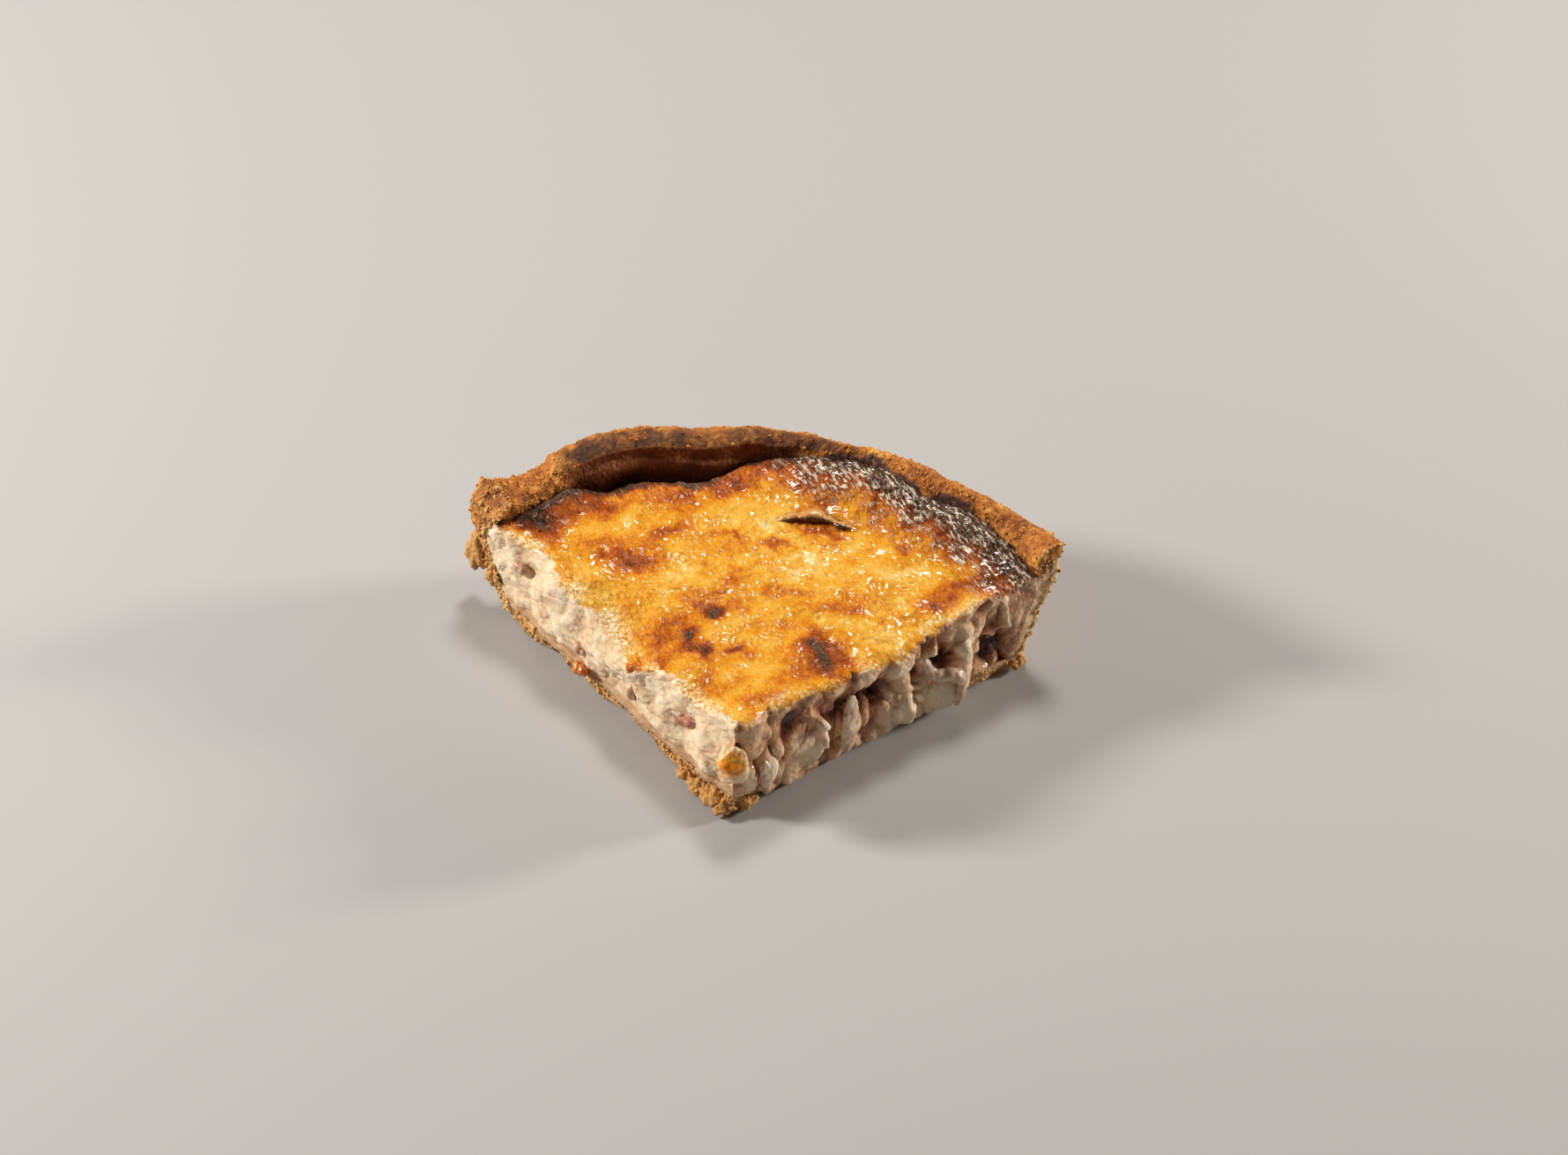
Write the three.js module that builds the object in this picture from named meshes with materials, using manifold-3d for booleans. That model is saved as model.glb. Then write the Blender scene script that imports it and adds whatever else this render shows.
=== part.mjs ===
// A slice of quiche lorraine: a shortcrust shell with a raised rim, holding a baked custard with lardons
// and onion, cut with two knife strokes that leave a wedge of a little over a quarter of an 18 cm quiche.
//
// Millimetres, +Z up. The slice is drawn from its tip, with +Y running along the wedge's middle to the rim,
// and is then moved back so that the middle of its bounding box stands over the origin.
import * as THREE from "three";
import { mergeVertices } from "three/addons/utils/BufferGeometryUtils.js";
import Module from "manifold-3d";

const wasm = await Module();
wasm.setup();

// Driving dimensions of the baked shell
const BASE_RADIUS = 77; // outside of the shell where it stands
const RIM_RADIUS = 88; // outside of the shell at the nominal rim
const RIM_HEIGHT = 32;
const WALL_CURVE = 0.6; // below 1, so the wall bellies out low down and then rises almost upright
const BASE_THICKNESS = 4;
const WALL_THICKNESS = 4;
const LIP_DOME = 1.3;
const LIP_BEVEL = 0.8; // the lip's inner edge lies this much below its outer edge
const LIP_STARTS = 0.55; // shares of the wall's height between which it thickens into its lip
const LIP_ENDS = 0.85;
const LEFT_END_BULGE = 2.4; // the wall spread where the first knife stroke crushed it
const BULGE_ANGLES = [-0.84, -0.66];
const BULGE_HEIGHTS = [16, 24];
const END_ROUNDING = 2.4; // that end is also rubbed round, from a height up and a little way in
const ROUNDED_HEIGHTS = [14, 24];
const ROUNDED_DEPTH = 3.2;
const CORNER_ROUNDING = 3.2; // how far the wall's foot draws in under the shell
const CORNER_HEIGHT = 5;
const THUMB_WAVES = [
  { size: 0.7, turns: 9, phase: 0.6 },
  { size: 0.4, turns: 17, phase: 2 },
];
const RIM_CRUMBLE = 0.45; // ups and downs of the broken rim
// At the back left the custard rose up the wall, sank again, and left a film with a stepped edge
const SUNK_ANGLES = [-0.46, 0.04];
const SUNK_FADE = 0.16;
const FILM_LEDGE = 0.7;
const FILM_DROP = 4.2; // from the top of the rim down to that edge

// The cut
const HALF_ANGLE = THREE.MathUtils.degToRad(48);
const TIP_SHORT = 2.7; // the strokes met this far short of the middle of the quiche
const MIDDLE_ALONG = 40.9; // the middle of the slice's bounding box, from its tip
const MIDDLE_ACROSS = -0.7;

// Height of the rim from the left cut to the right cut, at even steps of angle
const RIM_HEIGHTS = [32.2, 28.2, 31.4, 32.8, 32.2, 31.6, 30.9, 30.5, 30.2, 30.7, 30.8, 30, 31.4];
// Thickness of its lip at the same steps: it overhangs the wall inwards on the left and is thin at the back
const LIP_THICKNESSES = [9.4, 8.4, 6.4, 6.2, 6, 5.6, 4.4, 3.2, 3.4, 5, 4.2, 5.6, 6];
const RIM_CRACK = { at: -0.637, halfWidth: 0.024, depth: 1.4 }; // angles in radians

// The custard
const FILLING_TOP = 25.4;
const RISE_AT_RIGHT_RIM = 4; // it climbed and scorched against the rim on the right
const RISE_AT_LEFT_END = 2.4; // and against the rim's left end
const CLIMB_WIDTH = 19; // how far in from the rim that climb begins, and how far in it ends
const CLIMB_TOP = 7;
const CLIMB_ANGLES = [-0.3, 0.3]; // it reaches its full height over this turn to the right
const SHRINK_AT_LEFT_RIM = 2.4; // it shrank away from the wall at the back left
const SHRINK_ANGLES = [-0.46, -0.22];
const SHRINK_HEIGHTS = [15, 24];
const BROAD_BLISTERS = 0.55; // swells of the skin, 13 mm and 5 mm across
const SMALL_BLISTERS = 0.3;
const GAP = 0.45; // clearance between neighbouring solids

// Height of the custard along each cut, at even steps from the tip to the rim: the knife dragged it down
const LEFT_EDGE_HEIGHTS = [26.4, 23.2, 24.6, 21.4, 21.2, 23.6, 24.6, 26.2, 27];
const RIGHT_EDGE_HEIGHTS = [26.4, 27.4, 25.2, 24.2, 23.8, 24.8, 27, 26.4, 26];
const EDGE_REACH = 84; // distance from the tip at which those steps end
const EDGE_FADE = 8; // how far in from a cut its height is felt

// On the right the soft custard was smeared down over the pastry's cut edge, which stands back behind it
const PASTRY_SETBACK = 2.2;
const HEM_START = 10;
const HEM_END = 58;
const HEM_HEIGHT = 1.5;
const HEM_FADE = 5;
const HEM_WAVES = 0.9;

// Lumps (out > 0) and hollows (out < 0) in the two cut faces: distance from the tip, height, radius, depth
const RIGHT_RELIEF = [
  { along: 7.2, up: 9, size: 3.6, out: 1.7 },
  { along: 13.6, up: 19.6, size: 2.8, out: -2 },
  { along: 16.6, up: 11.5, size: 4.6, out: 2 },
  { along: 13, up: 3, size: 4, out: 1.2 },
  { along: 25.4, up: 16.5, size: 3.2, out: -3.2 },
  { along: 24.6, up: 8, size: 2.6, out: -1.8 },
  { along: 29.2, up: 8, size: 3.4, out: 1.4 },
  { along: 35.6, up: 15, size: 3.8, out: -2.8 },
  { along: 41.4, up: 19.6, size: 2.8, out: 1.4 },
  { along: 42.4, up: 6.5, size: 4.2, out: 2 },
  { along: 36, up: 6, size: 3, out: -1.6 },
  { along: 46.4, up: 17, size: 2, out: -1.6 },
  { along: 49, up: 8.5, size: 3.8, out: 1.8 },
  { along: 54.6, up: 16, size: 3.8, out: -4.2 },
  { along: 57.5, up: 5, size: 4.6, out: 3.2 },
  { along: 60.4, up: 18, size: 2.8, out: 1 },
  { along: 66.6, up: 9.5, size: 4.6, out: -2.8 },
  { along: 72.4, up: 17, size: 4.4, out: 0.9 },
];
const LEFT_RELIEF = [
  { along: 8, up: 12, size: 6, out: 1.2 },
  { along: 16, up: 13, size: 4, out: -1.5 },
  { along: 24, up: 9, size: 5.5, out: 0.9 },
  { along: 34, up: 19, size: 6, out: 1.9 },
  { along: 35, up: 10, size: 4, out: -1.2 },
  { along: 44, up: 12, size: 6, out: 1.0 },
  { along: 50, up: 22, size: 5, out: -1.4 },
  { along: 58, up: 14, size: 7, out: 0.9 },
  { along: 66, up: 24, size: 5, out: -2.2 },
  { along: 71, up: 11, size: 6, out: -0.7 },
];
const PASTRY_INSET_LEFT = 1.1; // the pastry stands a little back from the middle of the left stroke
const INSET_PLACES = [28, 56];
const INSET_FADE = 10;
const FLUTES = 0.55; // tears that run up and down the cuts
const SMALL_LUMPS = 0.35;

const clamp = THREE.MathUtils.clamp;
const lerp = THREE.MathUtils.lerp;
const smooth = (low, high, x) => THREE.MathUtils.smoothstep(x, low, high);

// 1 between low and high, falling to 0 over the fade outside them
function plateau(low, high, fade, x) {
  return smooth(low - fade, low, x) * (1 - smooth(high, high + fade, x));
}

// Noise from -1 to 1 on a lattice of whole numbers
function lattice(i, j, k) {
  const s = Math.sin(i * 127.1 + j * 311.7 + k * 74.7) * 43758.5453;
  return 2 * (s - Math.floor(s)) - 1;
}
function noise(x, y, z) {
  const [i, j, k] = [Math.floor(x), Math.floor(y), Math.floor(z)];
  const [a, b, c] = [x - i, y - j, z - k].map((t) => t * t * (3 - 2 * t));
  const edge = (dj, dk) => lerp(lattice(i, j + dj, k + dk), lattice(i + 1, j + dj, k + dk), a);
  return lerp(lerp(edge(0, 0), edge(1, 0), b), lerp(edge(0, 1), edge(1, 1), b), c);
}

// Distance from the tip, at an angle from the middle line, to a circle about the middle of the quiche
function reach(angle, radius) {
  const side = TIP_SHORT * Math.sin(angle);
  return Math.sqrt(radius * radius - side * side) - TIP_SHORT * Math.cos(angle);
}

// Smooth curve through values at even steps, for a share of the way from 0 to 1
function evenSteps(values, share) {
  const place = clamp(share, 0, 1) * (values.length - 1);
  const i = Math.min(Math.floor(place), values.length - 2);
  const [p0, p1, p2, p3] = [-1, 0, 1, 2].map((d) => values[clamp(i + d, 0, values.length - 1)]);
  const t = place - i;
  return p1 + 0.5 * t * (p2 - p0 + t * (2 * p0 - 5 * p1 + 4 * p2 - p3 + t * (3 * (p1 - p2) + p3 - p0)));
}

function crossShare(angle) {
  return (angle / HALF_ANGLE + 1) / 2;
}

function rimHeight(angle) {
  const crack = Math.max(0, 1 - Math.abs(angle - RIM_CRACK.at) / RIM_CRACK.halfWidth);
  const crumbly = RIM_CRUMBLE * noise(angle * 15, 0.5, 5);
  return evenSteps(RIM_HEIGHTS, crossShare(angle)) - RIM_CRACK.depth * crack + crumbly;
}

// Where the custard sank and left its film: 1 at the back left, 0 elsewhere
function sunkShare(angle) {
  return plateau(...SUNK_ANGLES, SUNK_FADE, angle);
}

// Outside radius of the shell at a height: it follows the tin, with the shallow waves of a hand-pressed edge
function outerRadius(angle, z) {
  const up = clamp(z / RIM_HEIGHT, 0, 1.1);
  let waves = 0.5 * noise(angle * 12, z / 7, 11);
  for (const wave of THUMB_WAVES) waves += wave.size * Math.sin(wave.turns * angle + wave.phase);
  const crushed = (1 - smooth(...BULGE_ANGLES, angle)) * plateau(...BULGE_HEIGHTS, 8, z);
  const foot = CORNER_ROUNDING * (1 - smooth(0, CORNER_HEIGHT, z));
  const upright = lerp(BASE_RADIUS, RIM_RADIUS, Math.pow(up, WALL_CURVE));
  return upright + waves * smooth(0.2, 0.9, up) + LEFT_END_BULGE * crushed - foot;
}

function wallThickness(angle, share) {
  const lip = evenSteps(LIP_THICKNESSES, crossShare(angle));
  return lerp(WALL_THICKNESS, lip, smooth(LIP_STARTS, LIP_ENDS, share));
}

// Inside radius of the shell at a height
function innerRadius(angle, z) {
  const share = (z - BASE_THICKNESS) / (rimHeight(angle) - BASE_THICKNESS);
  const film = FILM_LEDGE * sunkShare(angle) * (1 - smooth(0, 0.9, z - rimHeight(angle) + FILM_DROP));
  return outerRadius(angle, z) - wallThickness(angle, share) - film;
}

function direction(angle) {
  return new THREE.Vector3(Math.sin(angle), Math.cos(angle), 0);
}

// Outward normals of the two cut faces
const RIGHT_NORMAL = new THREE.Vector3(Math.cos(HALF_ANGLE), -Math.sin(HALF_ANGLE), 0);
const LEFT_NORMAL = new THREE.Vector3(-Math.cos(HALF_ANGLE), -Math.sin(HALF_ANGLE), 0);

// A closed geometry from points on a grid of cells, with any cell edges that fall together joined
function closedGeometry(points, quads) {
  const corners = quads.flatMap(([a, b, c, d]) => [a, b, c, a, c, d]);
  const positions = corners.flatMap((i) => points[i].toArray());
  const geometry = new THREE.BufferGeometry();
  geometry.setAttribute("position", new THREE.Float32BufferAttribute(positions, 3));
  const merged = mergeVertices(geometry, 1e-3);
  const index = [];
  for (let i = 0; i < merged.index.count; i += 3) {
    const [a, b, c] = merged.index.array.slice(i, i + 3);
    if (a !== b && b !== c && c !== a) index.push(a, b, c);
  }
  merged.setIndex(index);
  return merged;
}

// The surface of a unit cube, divided nu by nv by nw, carried to point(u, v, w)
function warpedBox(nu, nv, nw, point) {
  const points = [];
  const found = new Map();
  const at = (i, j, k) => {
    const key = (i * (nv + 1) + j) * (nw + 1) + k;
    if (!found.has(key)) {
      found.set(key, points.length);
      points.push(point(i / nu, j / nv, k / nw));
    }
    return found.get(key);
  };
  const quads = [];
  const face = (na, nb, corner) => {
    for (let a = 0; a < na; a++)
      for (let b = 0; b < nb; b++)
        quads.push([corner(a, b), corner(a, b + 1), corner(a + 1, b + 1), corner(a + 1, b)]);
  };
  face(nu, nv, (a, b) => at(a, b, 0));
  face(nv, nu, (a, b) => at(b, a, nw));
  face(nv, nw, (a, b) => at(0, a, b));
  face(nw, nv, (a, b) => at(nu, b, a));
  face(nw, nu, (a, b) => at(b, 0, a));
  face(nu, nw, (a, b) => at(a, nv, b));
  return closedGeometry(points, quads);
}

// A closed skin of rings from one pole to the other, with point(column, row) each from 0 to 1
function ringSkin(columns, rows, point) {
  const points = [];
  for (let j = 0; j <= rows; j++)
    for (let i = 0; i < columns; i++)
      points.push(point(i / columns, j / rows));
  const quads = [];
  for (let j = 0; j < rows; j++)
    for (let i = 0; i < columns; i++) {
      const next = (i + 1) % columns;
      quads.push([j * columns + i, j * columns + next, (j + 1) * columns + next, (j + 1) * columns + i]);
    }
  return closedGeometry(points, quads);
}

function toSolid(geometry) {
  const merged = mergeVertices(geometry.clone(), 1e-4);
  return new wasm.Manifold(
    new wasm.Mesh({
      numProp: 3,
      vertProperties: new Float32Array(merged.attributes.position.array),
      triVerts: new Uint32Array(merged.index.array),
    }),
  );
}

function toGeometry(solid) {
  const mesh = solid.getMesh();
  const geometry = new THREE.BufferGeometry();
  const positions = new Float32Array(mesh.numVert * 3);
  for (let i = 0; i < mesh.numVert; i++)
    positions.set(mesh.vertProperties.subarray(i * mesh.numProp, i * mesh.numProp + 3), i * 3);
  geometry.setAttribute("position", new THREE.BufferAttribute(positions, 3));
  geometry.setIndex(new THREE.BufferAttribute(mesh.triVerts, 1));
  geometry.computeVertexNormals();
  return geometry;
}

// The pastry shell: a sheet that runs from the tip across the base and up the wall to the rim.
// u follows the sheet, v crosses the wedge from right to left, and w goes from its outside to its inside.
const BASE_STATIONS = 15;
const WALL_STATIONS = 12;
const ALL_STATIONS = BASE_STATIONS + WALL_STATIONS;
const CROSS_STATIONS = 44;
const THROUGH_STATIONS = 3;
const RAGGED_CUT = 0.7;
const RAGGED_FADE = 3; // how far in from a cut the raggedness dies away

function shellSheet(u, v, w) {
  const angle = lerp(HALF_ANGLE, -HALF_ANGLE, v);
  const height = rimHeight(angle);
  let distance;
  let z;
  const station = u * ALL_STATIONS;
  if (station <= BASE_STATIONS) {
    const share = station / BASE_STATIONS;
    const under = reach(angle, outerRadius(angle, 0));
    const floor = reach(angle, innerRadius(angle, BASE_THICKNESS));
    distance = share * lerp(under, floor, w);
    z = BASE_THICKNESS * w;
  } else {
    const share = (station - BASE_STATIONS) / WALL_STATIONS;
    const outerZ = height * Math.pow(share, 1.5);
    const innerZ = lerp(BASE_THICKNESS, height - LIP_BEVEL, share);
    const outside = reach(angle, outerRadius(angle, outerZ));
    const inside = reach(angle, innerRadius(angle, innerZ));
    distance = lerp(outside, inside, w);
    z = lerp(outerZ, innerZ, w) + LIP_DOME * Math.sin(Math.PI * w) * smooth(0.97, 1, share);
  }
  const depth = Math.min(reach(angle, outerRadius(angle, z)) - distance, height - z);
  const rounding = END_ROUNDING * (1 - smooth(0, ROUNDED_DEPTH, depth)) * smooth(...ROUNDED_HEIGHTS, z);
  const point = direction(angle).multiplyScalar(distance).setZ(z);
  return point.add(raggedness(angle, distance, z, angle < 0 ? rounding : 0));
}

// How far along the right cut the custard covers the pastry, from 0 to 1
function hemShare(along) {
  return plateau(HEM_START, HEM_END, HEM_FADE, along);
}

// How far the pastry's cut stands out of the stroke: crumbly, and set back in the middle of either side
function pastryOut(right, along, z) {
  const seed = right ? 40 : 3;
  const coarse = noise(along / 4.5, z / 3.5, seed);
  const broad = noise(along / 11, z / 9, seed + 7);
  const crumbly = RAGGED_CUT * (coarse + 0.5 * broad);
  const low = 1 - smooth(BASE_THICKNESS, BASE_THICKNESS + 3, z);
  const hem = hemShare(along) * low;
  const inset = PASTRY_INSET_LEFT * plateau(...INSET_PLACES, INSET_FADE, along) * low;
  const out = right ? crumbly * (1 - smooth(0, 0.4, hem)) - PASTRY_SETBACK * hem : crumbly - inset;
  return out * smooth(0.5, 7, along);
}

function raggedness(angle, distance, z, rounding) {
  const inward = distance * Math.sin(HALF_ANGLE - Math.abs(angle));
  const out = (pastryOut(angle > 0, distance, z) - rounding) * Math.exp(-inward / RAGGED_FADE);
  return (angle > 0 ? RIGHT_NORMAL : LEFT_NORMAL).clone().multiplyScalar(out);
}

// Broken pastry at the tip and a flake that hangs from the left end: place, half sizes and turn
const CRUMBS = [
  { at: [-1.4, 0.2, 1.7], half: [2.6, 2.0, 1.9], turn: 0.4 },
  { at: [-4.6, 2.4, 1.9], half: [3.0, 2.2, 1.9], turn: 2.1 },
  { at: [3.0, 2.4, 1.7], half: [2.2, 1.8, 1.7], turn: 1.2 },
  { at: [-7.6, 4.6, 1.7], half: [2.8, 2.0, 1.7], turn: 2.6 },
  { at: [-11.0, 8.2, 1.5], half: [2.2, 1.6, 1.5], turn: 2.4 },
  { at: [56.8, 50.4, 1.5], half: [2.4, 1.5, 1.3], turn: 0.7 },
  { at: [-59.2, 54.0, 8], half: [2.0, 1.8, 2.4], turn: 2.4 },
  { at: [-63.0, 57.4, 11.5], half: [2.6, 2.2, 5.4], turn: 2.4 },
];

function crumb({ at, half, turn }, k) {
  const place = new THREE.Vector3(...at);
  const geometry = ringSkin(9, 6, (column, row) => {
    const around = column * 2 * Math.PI;
    const down = row * Math.PI;
    const swell = 1 + 0.35 * noise(2.5 * Math.cos(around) + k, 2.5 * Math.sin(around), 4 * row);
    const ring = row === 0 || row === 1 ? 0 : Math.sin(down) * swell;
    const point = new THREE.Vector3(half[0] * ring * Math.cos(around), half[1] * ring * Math.sin(around), 0);
    point.z = -half[2] * Math.cos(down);
    return point.applyAxisAngle(new THREE.Vector3(0, 0, 1), turn).add(place);
  });
  return toSolid(geometry);
}

function makeCrust() {
  const floor = new THREE.BoxGeometry(400, 400, 20).translate(0, 0, -10);
  floor.deleteAttribute("normal");
  floor.deleteAttribute("uv");
  const sheet = toSolid(warpedBox(ALL_STATIONS, CROSS_STATIONS, THROUGH_STATIONS, shellSheet));
  const whole = CRUMBS.reduce((solid, spec, k) => solid.add(crumb(spec, k)), sheet);
  return whole.subtract(toSolid(floor));
}

// Height of the custard's skin, from the wedge coordinates of a point
function fillingTop(x, y) {
  const distance = Math.hypot(x, y);
  const angle = clamp(Math.atan2(x, y), -HALF_ANGLE, HALF_ANGLE);
  const share = distance / EDGE_REACH;
  const nearLeft = Math.exp(-Math.pow((distance * Math.sin(HALF_ANGLE + angle)) / EDGE_FADE, 2));
  const nearRight = Math.exp(-Math.pow((distance * Math.sin(HALF_ANGLE - angle)) / EDGE_FADE, 2));
  const left = nearLeft * (evenSteps(LEFT_EDGE_HEIGHTS, share) - FILLING_TOP);
  const right = nearRight * (evenSteps(RIGHT_EDGE_HEIGHTS, share) - FILLING_TOP);
  const nearRim = smooth(RIM_RADIUS - CLIMB_WIDTH, RIM_RADIUS - CLIMB_TOP, Math.hypot(x, y + TIP_SHORT));
  const atRight = RISE_AT_RIGHT_RIM * smooth(...CLIMB_ANGLES, angle);
  const atLeft = RISE_AT_LEFT_END * (1 - smooth(-0.64, -0.48, angle));
  const climb = (atRight + atLeft) * nearRim * (1 - nearLeft) * (1 - nearRight);
  const blisters = BROAD_BLISTERS * noise(x / 13, y / 13, 2) + SMALL_BLISTERS * noise(x / 5, y / 5, 9);
  return FILLING_TOP + (left + right) / Math.max(1, nearLeft + nearRight) + climb + blisters;
}

// How far a cut face stands out of the stroke: flutes, smaller lumps, and the named ones
function cutRelief(relief, along, up, seed) {
  let out = FLUTES * noise(along / 4.2, up / 9, seed) + SMALL_LUMPS * noise(along / 2.6, up / 3.4, seed + 5);
  for (const bump of relief) {
    const away = Math.hypot(along - bump.along, up - bump.up) / bump.size;
    out += bump.out * Math.exp(-away * away);
  }
  return out;
}

// The custard's outline at a height. Columns run from the tip up the right cut, round the back and home.
const RIGHT_COLUMNS = 30;
const BACK_COLUMNS = 34;
const LEFT_COLUMNS = 30;
const ALL_COLUMNS = RIGHT_COLUMNS + BACK_COLUMNS + LEFT_COLUMNS;
const OVER_CUT = 0.4; // the custard stands a little proud of the pastry at the cuts
const CALM_BROW = 0.4; // the share of its lumps that a cut face loses at the brow

function backRadius(angle, z) {
  const shrunk = plateau(...SHRINK_ANGLES, SUNK_FADE, angle) * smooth(...SHRINK_HEIGHTS, z);
  return innerRadius(angle, z) - GAP - SHRINK_AT_LEFT_RIM * shrunk;
}

function fillingOutline(column, z, level) {
  const place = column * ALL_COLUMNS;
  const onBack = place >= RIGHT_COLUMNS && place <= RIGHT_COLUMNS + BACK_COLUMNS;
  if (onBack) {
    const angle = lerp(HALF_ANGLE, -HALF_ANGLE, (place - RIGHT_COLUMNS) / BACK_COLUMNS);
    return direction(angle).multiplyScalar(reach(angle, backRadius(angle, z)));
  }
  const right = place < RIGHT_COLUMNS;
  const share = right ? place / RIGHT_COLUMNS : (ALL_COLUMNS - place) / LEFT_COLUMNS;
  const angle = right ? HALF_ANGLE : -HALF_ANGLE;
  const length = reach(angle, backRadius(angle, z));
  const along = share * length;
  const ends = smooth(0, 5, along) * smooth(0, 3, length - along);
  const relief = cutRelief(right ? RIGHT_RELIEF : LEFT_RELIEF, along, z, right ? 21 : 33);
  const out = (relief * (1 - CALM_BROW * smooth(0.93, 1, level)) + OVER_CUT) * ends;
  const normal = right ? RIGHT_NORMAL : LEFT_NORMAL;
  return direction(angle).multiplyScalar(along).addScaledVector(normal, out);
}

const FILLING_HEART = new THREE.Vector3(0, 47, 0);
const BOTTOM_ROWS = 3;
const HEM_ROWS = 2;
const SIDE_ROWS = 10;
const TOP_ROWS = 12;
const EDGE_ROUNDING = 0.8;

// Lower edge of the custard: the pastry base, or on the right the hem that hangs in front of it
function lowerEdge(column) {
  const length = reach(HALF_ANGLE, backRadius(HALF_ANGLE, BASE_THICKNESS));
  const along = Math.min(1, (column * ALL_COLUMNS) / RIGHT_COLUMNS) * length;
  const hem = column * ALL_COLUMNS <= RIGHT_COLUMNS ? hemShare(along) : 0;
  const z = lerp(BASE_THICKNESS + GAP, HEM_HEIGHT + HEM_WAVES * noise(along / 4, 0.5, 50), hem);
  return { hem, z, along };
}

// Rows run from the middle of the underside out to its edge, down behind the hem and round it, up the side,
// and over the brow to the middle of the skin
function fillingSkin(column, row) {
  const place = row * (BOTTOM_ROWS + HEM_ROWS + SIDE_ROWS + TOP_ROWS);
  const bottom = BASE_THICKNESS + GAP;
  const low = lowerEdge(column);
  if (place < BOTTOM_ROWS + HEM_ROWS) {
    const behind = 2 * GAP + pastryOut(true, low.along, low.z);
    const edge =
      low.hem > 0
        ? direction(HALF_ANGLE).multiplyScalar(low.along).addScaledVector(RIGHT_NORMAL, behind)
        : fillingOutline(column, low.z, 0);
    if (place > BOTTOM_ROWS) return edge.setZ(low.z);
    return FILLING_HEART.clone().lerp(edge, place / BOTTOM_ROWS).setZ(bottom);
  }
  const rough = fillingOutline(column, FILLING_TOP, 1);
  const brow = fillingTop(rough.x, rough.y) - EDGE_ROUNDING;
  if (place <= BOTTOM_ROWS + HEM_ROWS + SIDE_ROWS) {
    const level = (place - BOTTOM_ROWS - HEM_ROWS) / SIDE_ROWS;
    const z = lerp(low.z, brow, level);
    return fillingOutline(column, z, level).setZ(z);
  }
  const inwards = (place - BOTTOM_ROWS - HEM_ROWS - SIDE_ROWS) / TOP_ROWS;
  const point = fillingOutline(column, brow + EDGE_ROUNDING, 1).lerp(FILLING_HEART, Math.pow(inwards, 1.25));
  return point.setZ(fillingTop(point.x, point.y));
}

// A plump morsel bent along a few points, in wedge coordinates, with a flattened round section
function morsel({ path, wide, thick, flat }, grow) {
  const curve = new THREE.CatmullRomCurve3(path.map((p) => new THREE.Vector3(...p)));
  const across = new THREE.Vector3(...flat).normalize();
  return ringSkin(8, 9, (column, row) => {
    const share = clamp(row, 0, 1);
    const along = curve.getTangent(share).normalize();
    const side = new THREE.Vector3().crossVectors(along, across).normalize();
    const depth = new THREE.Vector3().crossVectors(side, along).normalize();
    const fullness = Math.pow(Math.sin(Math.PI * share), 0.45);
    const around = -column * 2 * Math.PI;
    const centre = curve.getPoint(share).addScaledVector(along, grow * (2 * share - 1));
    return centre
      .addScaledVector(side, fullness * (wide / 2 + grow) * Math.cos(around))
      .addScaledVector(depth, fullness * (thick / 2 + grow) * Math.sin(around));
  });
}

// A place on a cut face: distance from the tip, height, and distance out of the knife's plane
function onRight(along, up, out) {
  return direction(HALF_ANGLE).multiplyScalar(along).addScaledVector(RIGHT_NORMAL, out).setZ(up).toArray();
}
function onLeft(along, up, out) {
  return direction(-HALF_ANGLE).multiplyScalar(along).addScaledVector(LEFT_NORMAL, out).setZ(up).toArray();
}
const FACING_RIGHT = RIGHT_NORMAL.toArray();
const FACING_LEFT = LEFT_NORMAL.toArray();
const FACING_TIP = [0, -1, 0.2];
const FACING_UP = [0, 0, 1];

const LARDON = { color: 0xa8613c, roughness: 0.5 };
const ONION = { color: 0xcdb394, roughness: 0.35 };
const BROWNED = { color: 0xc47a26, roughness: 0.4 };

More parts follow.
